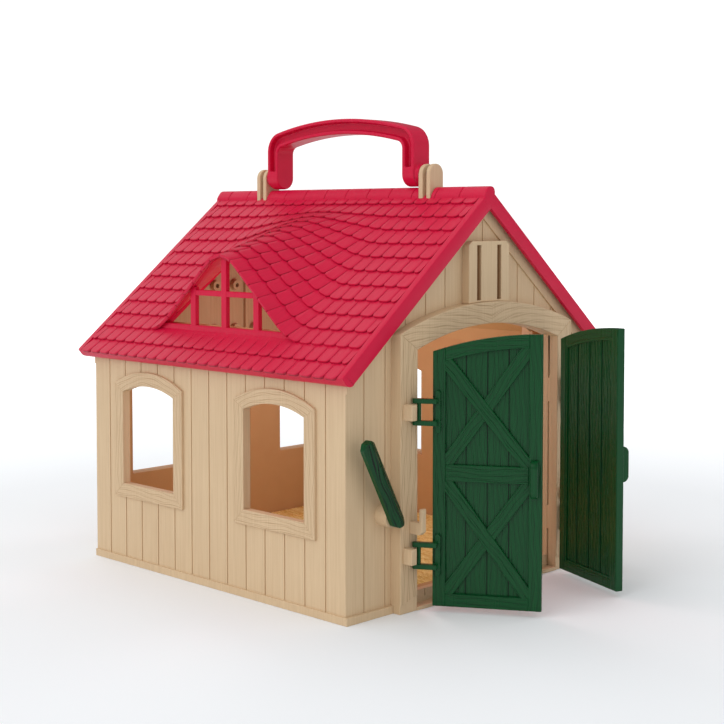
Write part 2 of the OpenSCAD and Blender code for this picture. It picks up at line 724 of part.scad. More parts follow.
module rear_lug_frame() color(wall_color) difference() {
    union() {
        on_gable(lug_outer, lug_t) {
            rafters();
            lug_stem(gusset_z + over);
        }
        on_gable(lug_y + lug_t, lug_t) lug_stem(gusset_z);
        translate([-lug_w / 2, lug_y, gusset_z]) cube([lug_w, lug_outer - lug_y - over, lug_bridge_h]);
        intersection() {
            both_x() translate([room_x - seat_gap - frame_foot_w, lug_y, frame_foot_z])
                cube([frame_foot_w, lug_outer - lug_y - over, frame_foot_h]);
            under_roof();
        }
    }
    translate([0, lug_outer - 0.9, pivot_z]) rotate([90, 0, 0])
        cylinder(h = lug_outer, r = handle_pin_r + 0.05);
    both_x() each_frame_screw() translate([0, 0, -reach / 2])
        cylinder(h = reach, r = screw_r + 0.15);
    both_x() each_rafter_screw() translate([0, 0, -2 * rafter_d])
        cylinder(h = 3 * rafter_d, r = screw_r + 0.05);
}

module front_lug_frame() mirror([0, 1, 0]) rear_lug_frame();

// Places its children at the screws in the frame feet, z outwards through the +X liner
module each_frame_screw() both_y()
    translate([room_x - seat_gap, (lug_y + lug_outer) / 2, frame_screw_z]) rotate([0, 90, 0]) children();

module frame_pilots() each_frame_screw() translate([0, 0, -over])
    cylinder(h = over + liner_t - 0.6, r = screw_r + 0.05);

module frame_screws() color(steel_color) both_x() each_frame_screw()
    translate([0, 0, -frame_foot_w]) screw(frame_foot_w + liner_t - 1);

module roof_screws() color(steel_color) both_x() each_rafter_screw()
    translate([0, 0, -rafter_d - seat_gap]) screw(rafter_d + seat_gap + roof_skin - 1.2);

module rear_handle_pin() color(steel_color) translate([0, lug_outer - 1, pivot_z]) rotate([90, 0, 0])
    cylinder(h = lug_outer - 1 - handle_half + 7.5, r = handle_pin_r);

module front_handle_pin() mirror([0, 1, 0]) rear_handle_pin();

// Outline in Y and Z of an arch on two upright sides, with round shoulders
module handle_shape(half, top, corner, arch, low) let (
    arch_z = top - arch, corner_y = half - corner,
    corner_z = arch_z + sqrt(pow(arch - corner, 2) - corner_y * corner_y),
    far_y = corner_y * (1 + 2 * corner / (arch - corner)),
    far_z = corner_z + (corner_z - arch_z) * 2 * corner / (arch - corner)) {
    difference() {
        intersection() {
            translate([-half, low]) square([2 * half, top - low]);
            translate([0, arch_z]) circle(arch, $fn = 180);
        }
        both_x() polygon([[corner_y, corner_z], [far_y, far_z],
            [half + over, far_z], [half + over, corner_z]]);
    }
    both_x() translate([corner_y, corner_z]) circle(corner);
}

module carry_handle() color(roof_color) difference() {
    union() {
        intersection() {
            on_side(-grip_w / 2, grip_w) difference() {
                handle_shape(handle_half, handle_top, handle_corner, grip_arch_r, pivot_z - foot_r);
                handle_shape(handle_half - grip_d, handle_top - grip_d, 5, grip_arch_r - grip_d, 0);
            }
            union() {
                translate([-reach / 2, -reach / 2, pivot_z]) cube(reach);
                translate([0, reach / 2, pivot_z]) rotate([90, 0, 0]) cylinder(h = reach, r = foot_r);
            }
        }
        both_y() translate([0, lug_y - swing_gap, pivot_z]) rotate([90, 0, 0])
            cylinder(h = lug_y - swing_gap - handle_half + over, r = lug_w / 2);
    }
    both_x() on_side(grip_w / 2 - hollow_d, reach) difference() {
        handle_shape(handle_half - rim_w, handle_top - rim_w, handle_corner - rim_w,
            grip_arch_r - rim_w, pivot_z + 4.5);
        handle_shape(handle_half - grip_d + rim_w, handle_top - grip_d + rim_w, 5 + rim_w,
            grip_arch_r - grip_d + rim_w, 0);
    }
    both_y() translate([0, lug_y, pivot_z]) rotate([90, 0, 0])
        cylinder(h = lug_y - handle_half + 7.7, r = handle_pin_r + run_fit);
}

// Door outline from the hinge pin: x runs along the closed door, y is up
module door_outline(inset) intersection() {
    translate([pin_to_door + inset, door_low + inset]) square([door_w - 2 * inset, reach]);
    translate([pin_x, door_arch_z]) circle(door_arch_r - door_top_gap - inset, $fn = 180);
}

function door_top(x, inset) =
    door_arch_z + sqrt(pow(door_arch_r - door_top_gap - inset, 2) - pow(pin_x - x, 2));

module brace(p, q) let (d = q - p) translate(p) rotate(atan2(d[1], d[0]))
    translate([-brace_w, -brace_w / 2]) square([norm(d) + 2 * brace_w, brace_w]);

module braces() let (
    x0 = pin_to_door + stile_w, x1 = pin_to_door + door_w - stile_w,
    z0 = door_low + stile_w, z1 = mid_rail_z - mid_rail_w / 2, z2 = mid_rail_z + mid_rail_w / 2) {
    brace([x0, z1], [x1, z0]);
    brace([x0, z0], [x1, z1]);
    brace([x0, door_top(x0, stile_w)], [x1, z2]);
    brace([x0, z2], [x1, door_top(x1, stile_w)]);
    translate([0, z1]) square([reach, mid_rail_w]);
}

module plank_lines() let (w = (door_w - 2 * stile_w) / door_planks)
    for (i = [1:door_planks - 1])
        translate([pin_to_door + stile_w + i * w - groove_w / 2, 0]) square([groove_w, reach]);

module door_leaf() color(door_color) difference() {
    on_gable(face_v + door_t, door_t) door_outline(0);
    on_gable(face_v + panel_sink, reach) difference() {
        door_outline(stile_w);
        braces();
    }
    on_gable(face_v + panel_sink + 0.5, reach) difference() {
        intersection() {
            door_outline(stile_w);
            plank_lines();
        }
        braces();
    }
    on_gable(face_v + door_t + over, over + inner_sink) door_outline(stile_w * 0.8);
    on_gable(face_v + door_t + over, over + inner_sink + 0.5) intersection() {
        door_outline(stile_w * 0.8);
        plank_lines();
    }
    for (z = [low_hinge_z, high_hinge_z]) leaf_pegs(z, peg_r + 0.05, peg_l + 0.2);
    pull_pegs(peg_r + 0.05, peg_l + 0.2);
}

module leaf_pegs(z, r, length) for (i = [-1, 1])
    translate([leaf_x, face_v + length, z + i * (leaf_h / 2 - 3)]) rotate([90, 0, 0])
        cylinder(h = length + over, r = r);

module pull_pegs(r, length) for (i = [-1, 1])
    translate([pull_x, face_v + length, pull_z + i * (pull_l / 2 - 1.6)]) rotate([90, 0, 0])
        cylinder(h = length + over, r = r);

// Hinge clip: a pin held by two arms that carry a leaf on the face of the door
module hinge_clip(z) color(door_color) {
    translate([0, 0, z]) {
        cylinder(h = hinge_h, r = pin_r, center = true);
        for (low = [-hinge_h / 2, hinge_h / 2 - arm_t]) translate([0, 0, low]) linear_extrude(arm_t) {
            translate([-arm_tail, 0]) circle(arm_d / 2);
            translate([-arm_tail, -arm_d / 2]) square([arm_tail + leaf_x, arm_d]);
            translate([pin_to_door + 0.4, 0]) square([leaf_x - pin_to_door, face_v]);
        }
        on_gable(face_v, 2) {
            translate([leaf_x - leaf_w / 2, (leaf_w - leaf_h) / 2]) square([leaf_w, leaf_h - leaf_w]);
            for (i = [-1, 1]) translate([leaf_x, i * (leaf_h - leaf_w) / 2]) circle(leaf_w / 2);
        }
    }
    leaf_pegs(z, peg_r, peg_l);
}

// D-shaped pull on the free stile
module door_pull() color(door_color) let (back = face_v - pull_proud + 2.4) {
    on_side(pull_x - pull_w / 2, pull_w) difference() {
        union() {
            translate([back, pull_z - pull_l / 2]) square([pull_proud - 2.4, pull_l]);
            translate([back - 2.4, pull_z - pull_l / 2 + 2.4]) square([pull_proud, pull_l - 4.8]);
            for (i = [-1, 1]) translate([back, pull_z + i * (pull_l / 2 - 2.4)]) circle(2.4);
        }
        translate([back, pull_z - pull_l / 2 + 3.2]) square([pull_proud, pull_l - 6.4]);
    }
    pull_pegs(peg_r, peg_l);
}

module left_side() translate([-pin_x, pin_y, 0]) rotate([0, 0, -left_open]) children();

module right_side() mirror([1, 0, 0]) translate([-pin_x, pin_y, 0]) rotate([0, 0, -right_open]) children();

module left_door() left_side() door_leaf();
module right_door() right_side() door_leaf();
module left_pull() left_side() door_pull();
module right_pull() right_side() door_pull();
module left_upper_hinge() left_side() hinge_clip(high_hinge_z);
module left_lower_hinge() left_side() hinge_clip(low_hinge_z);
module right_upper_hinge() right_side() hinge_clip(high_hinge_z);
module right_lower_hinge() right_side() hinge_clip(low_hinge_z);

// Latch bar from its pivot: x runs to the long end, the shaft runs back through the wall
module latch_bar() color(door_color) let (
    x0 = -latch_tail, x1 = latch_l - latch_tail, z1 = latch_w / 2, z0 = latch_w / 5, c = latch_w / 3)
    difference() {
        union() {
            intersection() {
                on_gable(latch_back_y, latch_t) polygon([[x0 + c, -z1], [x1 - c, -z1], [x1, -z0], [x1, z0],
                    [x1 - c, z1], [x0 + c, z1], [x0, z0], [x0, -z0]]);
                on_side(-reach / 2, reach) polygon([[latch_back_y, -z1], [latch_back_y - latch_t / 2, -z1],
                    [latch_back_y - latch_t, -0.6], [latch_back_y - latch_t, 0.6],
                    [latch_back_y - latch_t / 2, z1], [latch_back_y, z1]]);
            }
            translate([0, latch_shaft_y, 0]) rotate([90, 0, 0])
                cylinder(h = latch_shaft_y - latch_back_y + over, r = latch_shaft_r);
        }
        translate([0, latch_shaft_y + over, 0]) rotate([90, 0, 0])
            cylinder(h = 9 + over, r = screw_r + 0.05);
    }

module latch_screw() color(steel_color) translate([0, latch_shaft_y, 0]) {
    rotate([90, 0, 0]) cylinder(h = 8.5, r = screw_r);
    rotate([-90, 0, 0]) cylinder(h = screw_head_h, r = washer_r);
}

module left_latch() translate([-latch_x, 0, latch_z]) rotate([0, latch_rest - 180, 0]) children();

module left_latch_bar() left_latch() latch_bar();
module left_latch_screw() left_latch() latch_screw();
module right_latch_bar() mirror([1, 0, 0]) left_latch() latch_bar();
module right_latch_screw() mirror([1, 0, 0]) left_latch() latch_screw();

floor_tray();
straw_mat();
left_wall();
right_wall();
front_wall();
rear_wall();
left_liner();
right_liner();
front_liner();
rear_liner();
door_casing();
vent_panel();
roof_left();
roof_right();
dormer_window();
front_lug_frame();
rear_lug_frame();
front_handle_pin();
rear_handle_pin();
carry_handle();
left_door();
right_door();
left_pull();
right_pull();
left_upper_hinge();
left_lower_hinge();
right_upper_hinge();
right_lower_hinge();
left_latch_bar();
right_latch_bar();
left_latch_screw();
right_latch_screw();
floor_screws();
casing_screws();
frame_screws();
roof_screws();
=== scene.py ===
# %% [markdown]
# # A toy barn, dressed piece by piece
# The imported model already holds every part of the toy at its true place. This lesson
# loads it as a fixed frame, then builds the surfaces that a camera sees: tiled roof
# slopes, carved window frames, boarded doors and satin plastic.

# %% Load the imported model
import math

import bmesh
import bpy
import numpy as np
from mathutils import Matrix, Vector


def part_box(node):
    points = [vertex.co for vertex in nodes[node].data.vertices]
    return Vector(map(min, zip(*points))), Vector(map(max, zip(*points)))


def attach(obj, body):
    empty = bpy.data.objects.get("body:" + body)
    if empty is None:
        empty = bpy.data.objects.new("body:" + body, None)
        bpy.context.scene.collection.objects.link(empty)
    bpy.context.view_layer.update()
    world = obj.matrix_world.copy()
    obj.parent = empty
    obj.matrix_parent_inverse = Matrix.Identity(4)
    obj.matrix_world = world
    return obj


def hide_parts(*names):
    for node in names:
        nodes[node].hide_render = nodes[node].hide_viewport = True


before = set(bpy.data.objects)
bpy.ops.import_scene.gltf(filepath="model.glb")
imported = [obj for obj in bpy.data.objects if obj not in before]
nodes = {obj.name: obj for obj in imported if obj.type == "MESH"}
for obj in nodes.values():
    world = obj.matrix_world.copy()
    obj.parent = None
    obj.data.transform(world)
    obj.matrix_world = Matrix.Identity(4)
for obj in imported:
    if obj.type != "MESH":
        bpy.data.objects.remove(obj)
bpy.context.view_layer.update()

# %% [markdown]
# ## Sizes
# The barn is drawn in millimetres and Blender works in metres, so one factor turns the
# first into the second. The sizes repeat those of the solid model. X runs across the
# front gable, Y runs back along the ridge, and Z is up.

# %% Sizes of the barn, in millimetres
MM = 0.001
HALF_W, HALF_L = 115.0, 116.4
RIDGE_Z, PITCH = 239.6, math.radians(39.6)
SLOPE_TAN = math.tan(PITCH)
EAVE_X, VERGE_Y, EDGE_DEPTH = 125.0, 123.4, 8.9
SLOPE_L = EAVE_X / math.cos(PITCH)
COURSES, TILE_W, TILE_T = 13, 9.9, 1.3
MARGIN_Y = 118.8
HOOD_H, HOOD_HALF, HOOD_END, WINDOW_X, HOOD_FRONT = 47.2, 72.0, 13.4, 104.1, 106.5
CASING_Y = -124.1
print("slope length", round(SLOPE_L, 1), "mm")

# %% [markdown]
# ## From arrays to a mesh
# A surface is a grid of points, worked out as one array. Blender takes the points and
# the faces in a single call each, which is far quicker than adding them one by one. If
# the volume inside the faces comes out below zero, they point inwards and are turned.

# %% Put arrays into a mesh
def signed_volume(points, quads, outlines):
    """A sixth of the sum of the triple products of every triangle's three corners."""
    fans = [np.stack([np.full(len(o) - 2, o[0]), o[1:-1], o[2:]], -1) for o in outlines]
    triangles = np.concatenate([quads[:, [0, 1, 2]], quads[:, [0, 2, 3]], *fans])
    a, b, c = (points[triangles[:, i]] for i in range(3))
    return float((a * np.cross(b, c)).sum() / 6)


def mesh_from(name, points, quads, outlines=(), carve_and_shade=None):
    """An object from points in millimetres, an array of quads and any outlines with more corners."""
    quads = np.asarray(quads, np.int64).reshape(-1, 4)
    outlines = [np.asarray(o, np.int64) for o in outlines]
    if signed_volume(points, quads, outlines) < 0:
        quads, outlines = quads[:, ::-1], [o[::-1] for o in outlines]
    corners = np.concatenate([quads.ravel(), *outlines]).astype(np.int32)
    sizes = np.array([4] * len(quads) + [len(o) for o in outlines])
    mesh = bpy.data.meshes.new(name)
    mesh.vertices.add(len(points))
    mesh.vertices.foreach_set("co", (points * MM).astype(np.float32).ravel())
    mesh.loops.add(len(corners))
    mesh.loops.foreach_set("vertex_index", corners)
    mesh.polygons.add(len(sizes))
    mesh.polygons.foreach_set("loop_start", (np.cumsum(sizes) - sizes).astype(np.int32))
    mesh.update(calc_edges=True)
    # The attribute holds groove depth and painted shade for the materials.
    if carve_and_shade is not None:
        depth = mesh.attributes.new("carve_and_shade", "FLOAT", "POINT")
        depth.data.foreach_set("value", carve_and_shade.astype(np.float32))
    made = bpy.data.objects.new(name, mesh)
    bpy.context.scene.collection.objects.link(made)
    return made


def joined(parts):
    """Lays several (points, quads, outlines, carve) parts end to end in one set of arrays."""
    starts = np.cumsum([0] + [len(p[0]) for p in parts])
    return (np.concatenate([p[0] for p in parts]),
            np.concatenate([p[1].reshape(-1, 4) + s for p, s in zip(parts, starts)]),
            [np.asarray(o) + s for p, s in zip(parts, starts) for o in p[2]],
            np.concatenate([p[3] for p in parts]))


def finish_piece(made, material, body, slot, *replaced, sharp=35):
    """Gives a piece its material, smooth shading with sharp edges and its body. slot is not used."""
    made.data.materials.clear()
    made.data.materials.append(material)
    made.data.shade_smooth()
    made.data.set_sharp_from_angle(angle=math.radians(sharp))
    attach(made, body)
    if replaced:
        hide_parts(*replaced)
    print(f"{made.name}: {len(made.data.polygons)} faces on {body}")
    return made


def dress(name, parts, *about, **options):
    """Makes one finished piece of several parts. The rest goes to finish_piece as it is."""
    return finish_piece(mesh_from(name, *joined(parts)), *about, **options)


# %% Close a grid into a solid
def grid_quads(rows, cols):
    """The four corners of each cell of a grid whose points are numbered row by row."""
    index = np.arange(rows * cols).reshape(rows, cols)
    return np.stack([index[:-1, :-1], index[:-1, 1:], index[1:, 1:], index[1:, :-1]], -1)


def closed_sheet(top, bottom, keep=None):
    """Joins two grids into one wall. Cells that aren't kept are left open right through."""
    rows, cols = top.shape[:2]
    count = rows * cols
    index = np.arange(count).reshape(rows, cols)
    keep = np.ones((rows - 1, cols - 1), bool) if keep is None else keep
    padded = np.pad(keep, 1)
    upper = grid_quads(rows, cols)[keep]
    sides = []
    for here, there, e0, e1 in (
            (padded[1:, 1:-1], padded[:-1, 1:-1], index[:, 1:], index[:, :-1]),
            (padded[1:-1, 1:], padded[1:-1, :-1], index[:-1], index[1:])):
        wall = np.stack([e0, e1, e1 + count, e0 + count], -1)
        sides += [wall[here & ~there], wall[there & ~here][:, ::-1]]
    quads = np.concatenate([upper, upper[:, ::-1] + count, *sides])
    points = np.concatenate([top.reshape(-1, 3), bottom.reshape(-1, 3)])
    used, quads = np.unique(quads, return_inverse=True)
    return points[used], quads.reshape(-1, 4), [], np.zeros(len(used))


def closed_relief(top, skirt, carve_and_shade, shade=1.0):
    """A grid of points, walls from its rim down to the skirt points, and one face below.
    The foot of the walls gets painted shade, as strong as shade says, 1 for the darkest."""
    rows, cols = top.shape[:2]
    index = np.arange(rows * cols).reshape(rows, cols)
    rim = np.concatenate([index[0, :-1], index[:-1, -1], index[-1, :0:-1], index[:0:-1, 0]])
    low = rows * cols + np.arange(len(rim))
    walls = np.stack([rim, low, np.roll(low, -1), np.roll(rim, -1)], -1)
    quads = np.concatenate([grid_quads(rows, cols).reshape(-1, 4), walls])
    points = np.concatenate([top.reshape(-1, 3), skirt.reshape(-1, 3)[rim]])
    carve_and_shade = np.concatenate([carve_and_shade.ravel(), np.full(len(rim), shade)])
    return points, quads, [low[::-1]], carve_and_shade


# %% [markdown]
# ## Colours and nodes
# Colours are written as the hex values that a picture shows. The shader works with
# linear light, so one function turns the first into the second. A second small function
# adds a node, sets it and links it, so each finish below reads as a short list.

# %% Colour and node helpers
def linear(hex_colour, alpha=1.0):
    """sRGB to linear: the low part is divided by 12.92, the rest follows a power of 2.4."""
    c = np.array([int(hex_colour[i:i + 2], 16) for i in (1, 3, 5)]) / 255
    c = np.where(c <= 0.04045, c / 12.92, ((c + 0.055) / 1.055) ** 2.4)
    return (*c.tolist(), alpha)


def add_node(tree, kind, inputs=None, **settings):
    """Adds one shader node with its settings, and links or sets each named input."""
    made = tree.nodes.new("ShaderNode" + kind)
    for key, value in settings.items():
        setattr(made, key, value)
    for key, value in (inputs or {}).items():
        if isinstance(value, bpy.types.NodeSocket):
            tree.links.new(value, made.inputs[key])
        else:
            made.inputs[key].default_value = value
    return made


def new_material(name):
    """An empty material, its node tree, and the Object coordinates that patterns start from."""
    made = bpy.data.materials.new(name)
    made.use_nodes = True
    made.node_tree.nodes.clear()
    place = add_node(made.node_tree, "TexCoord").outputs["Object"]
    return made, made.node_tree, place


# %% [markdown]
# ## The plastics
# The toy is injection moulded, most likely in ABS: satin, a little soft in its
# highlights, and coloured through. The mould was cut with a faint wood grain, so the
# finish is a plain colour with long shallow streaks. Grooves and recesses are painted
# darker towards a groove colour: painted shade, where less light gets in. The carved
# pieces store their groove depth and this painted shade in a point attribute, and the
# colour follows it.

# %% One recipe for every moulded plastic
def moulded_plastic(name, face, groove_shade, roughness, streak_mm, height_mm, mottle=0.06):
    """Satin plastic whose streaks are streak_mm long in X, Y and Z, with painted shade in carved lines.
    """
    made, tree, place = new_material(name)
    scaled = add_node(tree, "Mapping", {
        "Vector": place, "Scale": [1 / (s * MM) for s in streak_mm]}).outputs[0]
    streaks = add_node(tree, "TexNoise", {
        "Vector": scaled, "Scale": 1.0, "Detail": 3.0, "Roughness": 0.55}).outputs["Fac"]
    clouds = add_node(tree, "TexNoise", {
        "Vector": place, "Scale": 1 / (38 * MM), "Detail": 2.0}).outputs["Fac"]
    # Groove depth and painted shade, 0 to 1, read from the point attribute
    depth = add_node(tree, "Attribute", attribute_name="carve_and_shade").outputs["Fac"]
    streaked = add_node(tree, "MapRange", {
        "Value": streaks, "From Min": 0.3, "From Max": 0.7, "To Max": mottle}).outputs[0]
    clouded = add_node(tree, "Math", {0: clouds, 1: mottle, 2: streaked},
                       operation="MULTIPLY_ADD").outputs[0]
    share = add_node(tree, "Math", {0: clouded, 1: depth}, operation="ADD", use_clamp=True).outputs[0]
    colour = add_node(tree, "Mix", {
        "Factor": share, "A": linear(face), "B": linear(groove_shade)}, data_type="RGBA")
    sheen = add_node(tree, "MapRange", {
        "Value": streaks, "From Min": 0.25, "From Max": 0.75,
        "To Min": roughness - 0.05, "To Max": roughness + 0.05}).outputs[0]
    bump = add_node(tree, "Bump", {
        "Height": streaks, "Strength": 1.0, "Distance": height_mm * MM}).outputs[0]
    shader = add_node(tree, "BsdfPrincipled", {
        "Base Color": colour.outputs["Result"], "Roughness": sheen, "Normal": bump, "IOR": 1.53,
        "Specular IOR Level": 0.25})
    add_node(tree, "OutputMaterial", {"Surface": shader.outputs[0]})
    return made


# Beige ABS: upright streaks 1.1 mm wide, as the moulded planks show.
BEIGE = moulded_plastic("beige_moulded_abs", "#DEC39E", "#98704A", 0.5, (1.1, 1.1, 40), 0.11, 0.14)
# Brown ABS of the inner walls, smoother than the outside.
BROWN = moulded_plastic("brown_moulded_abs", "#C8A070", "#A0713F", 0.55, (9, 9, 9), 0.02)
# Crimson ABS of the roof and the handle: fine lines 0.8 mm wide run down each slope and
# break its pale sheen.
CRIMSON = moulded_plastic("crimson_satin_abs", "#DB1142", "#8A0924", 0.38, (16, 0.8, 16), 0.06, 0.12)
# Dark green ABS of the doors and the latches, glossier, with streaks 0.8 mm wide.
GREEN = moulded_plastic("dark_green_moulded_abs", "#074E25", "#010C05", 0.3, (0.8, 0.8, 20), 0.12, 0.12)
print("plastics", [m.name for m in (BEIGE, BROWN, CRIMSON, GREEN)])

# %% [markdown]
# ## Straw and steel
# The loose mat is yellow plastic moulded as straw. Its colour changes from stalk to
# stalk, so two noises are mixed, drawn out in directions that cross. The pins and the
# screws are zinc plated steel: a metal with a soft, slightly uneven shine.

# %% Straw and steel
def straw_plastic():
    """Yellow and gold mixed by two noises whose streaks are 1.2 mm wide and 14 mm long."""
    made, tree, place = new_material("straw_moulded_plastic")
    stalks = [add_node(tree, "TexNoise", {
        "Vector": add_node(tree, "Mapping", {
            "Vector": place, "Rotation": (0, 0, turn), "Scale": (830, 70, 400)}).outputs[0],
        "Scale": 1.0, "Detail": 2.0}).outputs["Fac"] for turn in (0.4, 1.7)]
    both = add_node(tree, "Math", {0: stalks[0], 1: stalks[1]}, operation="ADD").outputs[0]
    share = add_node(tree, "MapRange", {
        "Value": both, "From Min": 0.75, "From Max": 1.25}).outputs[0]
    colour = add_node(tree, "Mix", {
        "Factor": share, "A": linear("#D4B154"), "B": linear("#FBEBA0")}, data_type="RGBA")
    bump = add_node(tree, "Bump", {"Height": both, "Distance": 0.4 * MM}).outputs[0]
    shader = add_node(tree, "BsdfPrincipled", {
        "Base Color": colour.outputs["Result"], "Roughness": 0.6, "Normal": bump})
    add_node(tree, "OutputMaterial", {"Surface": shader.outputs[0]})
    return made


def plated_steel():
    """Zinc plated steel, its roughness varied by a noise with a grain of 0.8 mm."""
    made, tree, place = new_material("zinc_plated_steel")
    grain = add_node(tree, "TexNoise", {"Vector": place, "Scale": 1 / (0.8 * MM)})
    rough = add_node(tree, "MapRange", {
        "Value": grain.outputs["Fac"], "To Min": 0.25, "To Max": 0.4}).outputs[0]
    shader = add_node(tree, "BsdfPrincipled", {
        "Base Color": linear("#C6C8CA"), "Metallic": 1.0, "Roughness": rough})
    add_node(tree, "OutputMaterial", {"Surface": shader.outputs[0]})
    return made


STRAW, STEEL = straw_plastic(), plated_steel()
print("also", STRAW.name, STEEL.name)

# %% [markdown]
# ## Nodes that keep their shape
# Three walls, the liners of the gables, the pins and the screws are right as the solid
# model has them. They only get a finish, in place of the material they came with.

# %% Finish the plain nodes
PLAIN = {
    BEIGE: ["left_wall", "right_wall", "front_wall"],
    BROWN: ["front_liner", "rear_liner"],
    STEEL: ["front_handle_pin", "rear_handle_pin", "left_latch_screw", "right_latch_screw",
            "floor_screws", "casing_screws", "frame_screws", "roof_screws"],
}
for material, names in PLAIN.items():
    for name in names:
        nodes[name].data.materials.clear()
        nodes[name].data.materials.append(material)
print("plain nodes", sum(len(n) for n in PLAIN.values()))

# %% [markdown]
# ## Small moulded parts with rounded edges
# Real mouldings have no knife edges. Each small part starts as a copy of its solid. Its
# loose triangles are merged, flat areas become single faces, and a Bevel modifier
# rounds whatever edge is sharper than 40 degrees. Where the photograph shows less than
# the solid has, plain boxes are cut out of the copy first.

# %% Cut boxes out of a mesh
def without_boxes(mesh, boxes):
    """The mesh with each box, given by its low and high corner in mm, cut out of it."""
    for low, high in boxes:
        x, y = np.meshgrid([low[0], high[0]], [low[1], high[1]], indexing="ij")
        top, foot = (np.stack([x, y, np.full((2, 2), z)], -1) for z in (high[2], low[2]))
        blade = mesh_from("blade", *closed_sheet(top, foot)[:3])
        held = bpy.data.objects.new("held", mesh)
        bpy.context.scene.collection.objects.link(held)
        step = held.modifiers.new("cut", "BOOLEAN")
        step.operation, step.solver, step.object = "DIFFERENCE", "EXACT", blade
        graph = bpy.context.evaluated_depsgraph_get()
        mesh = bpy.data.meshes.new_from_object(held.evaluated_get(graph))
        bpy.data.objects.remove(held)
        bpy.data.objects.remove(blade)
    return mesh


# %% Copy a node and round its edges
def rounded_copy(node, radius, material, body, slot, push=None, painted_shade=None, boxes=()):
    """A merged copy with edges rounded to radius mm, without what is inside the boxes.
    push moves points, and the function after it gives each point's painted shade, 0 to 1."""
    mesh = without_boxes(nodes[node].data.copy(), boxes)
    work = bmesh.new()
    work.from_mesh(mesh)
    bmesh.ops.remove_doubles(work, verts=work.verts, dist=0.002 * MM)
    if push is not None:
        place = np.array([v.co for v in work.verts]) / MM
        for vert, spot in zip(work.verts, push(place) * MM):
            vert.co = spot
        bmesh.ops.remove_doubles(work, verts=work.verts, dist=0.002 * MM)
    bmesh.ops.dissolve_limit(work, angle_limit=math.radians(1), verts=work.verts,
                             edges=work.edges)
    work.to_mesh(mesh)
    work.free()
    # Painted shade per point, kept in the same attribute as the carved depth.
    if painted_shade is not None:
        place = np.array([v.co for v in mesh.vertices]) / MM
        depth = mesh.attributes.new("carve_and_shade", "FLOAT", "POINT")
        depth.data.foreach_set("value", painted_shade(place).astype(np.float32))
    made = bpy.data.objects.new(node + "_rounded", mesh)
    bpy.context.scene.collection.objects.link(made)
    finish_piece(made, material, body, slot, node, sharp=40)
    bevel = made.modifiers.new("rounded edges", "BEVEL")
    bevel.width, bevel.segments = radius * MM, 3
    bevel.limit_method, bevel.angle_limit = "ANGLE", math.radians(40)
    bevel.use_clamp_overlap, bevel.harden_normals = False, True
    return made


# %% [markdown]
# ## The parts that are copied and rounded
# The tray's lip is slimmer in the photograph than in the solid, so its points are drawn
# in. The attic gets little light, so the inner face of the rear wall is shaded half way
# to the groove colour, and the two slots of the vent panel are shaded fully.

# %% Tray, rear wall and small parts
def slim_lip(points):
    """Keeps 0.55 of the tray's lip beyond the side walls and 0.15 of it beyond the rear wall."""
    beyond_side = np.maximum(np.abs(points[:, 0]) - HALF_W, 0)
    points[:, 0] -= np.sign(points[:, 0]) * 0.45 * beyond_side
    points[:, 1] -= 0.85 * np.maximum(points[:, 1] - HALF_L, 0)
    return points


rounded_copy("floor_tray", 0.2, BEIGE, "house", "beige_plastic", push=slim_lip)
# The inner face is painted half way to the groove colour, as painted shade in the attic.
rounded_copy("rear_wall", 0.15, BEIGE, "house", "beige_plastic",
             painted_shade=lambda p: 0.5 * (p[:, 1] < HALF_L - 1))
rounded_copy("carry_handle", 1.1, CRIMSON, "handle", "red_plastic")
SLOT_X, SLOT_FOOT = 9.3, 173
# Points in the two slots are painted fully in the groove colour, as painted shade.
rounded_copy("vent_panel", 0.4, BEIGE, "house", "beige_plastic",
             painted_shade=lambda p: ((np.abs(np.abs(p[:, 0]) - SLOT_X) < 1.9)
                               & (p[:, 1] > CASING_Y + 4) & (p[:, 2] > SLOT_FOOT)))
for end in ("front", "rear"):
    rounded_copy(end + "_lug_frame", 0.6, BEIGE, "house", "beige_plastic")
BAR_BACK = -125.5
for side in ("left", "right"):
    rounded_copy(side + "_latch_bar", 0.3, GREEN, side + "_latch", "green_plastic",
                 push=lambda p: p + np.where(p[:, 1:2] < BAR_BACK - 2, [[0, 0.6, 0]], 0))
    for level in ("upper", "lower"):
        rounded_copy(f"{side}_{level}_hinge", 0.3, GREEN, side + "_door", "green_plastic")

# %% [markdown]
# ## The roof skin
# Each slope is a sheet with turned-down edges. Points on it have a distance x from the
# ridge, a place y along it, and a height n over the surface, measured square to it. On
# the left slope a hood swells up over the dormer window: its height grows in
# proportion to x, and falls off to both sides along a straight flank with soft ends.

# %% Surface of a roof slope
def hood_share(x):
    """Share of the full hood height: a straight line from the hood's upper end, eased in."""
    ease = 6.0
    t = x - HOOD_END
    eased = np.where(t > ease, t, np.where(t < -ease, 0.0, (t + ease) ** 2 / (4 * ease)))
    return eased / (WINDOW_X - HOOD_END)


def hood_profile(y):
    """Height of the hood across, 1 to 0: a parabola on top, a straight flank, a parabola at the toe."""
    crown, toe = 0.2, 0.3
    fall = 1 / (1 - (crown + toe) / 2)
    t = np.clip(np.abs(y) / HOOD_HALF, 0, 1)
    flank = 1 - fall * (t - crown / 2)
    return np.where(t <= crown, 1 - fall * t * t / (2 * crown),
                    np.where(t < 1 - toe, flank, fall * (1 - t) ** 2 / (2 * toe)))


def slope_z(x, y, hood):
    """Height of a slope: the ridge less x times the tangent of the pitch, plus the hood."""
    flat = RIDGE_Z - SLOPE_TAN * x
    swell = HOOD_H * hood_share(x) * hood_profile(y)
    return flat + (swell if hood else 0.0)


def slope_slopes(x, y, hood):
    """The two slopes of the surface, dz/dx and dz/dy, from central differences of 0.02 mm."""
    d = 0.01
    return ((slope_z(x + d, y, hood) - slope_z(x - d, y, hood)) / (2 * d),
            (slope_z(x, y + d, hood) - slope_z(x, y - d, hood)) / (2 * d))


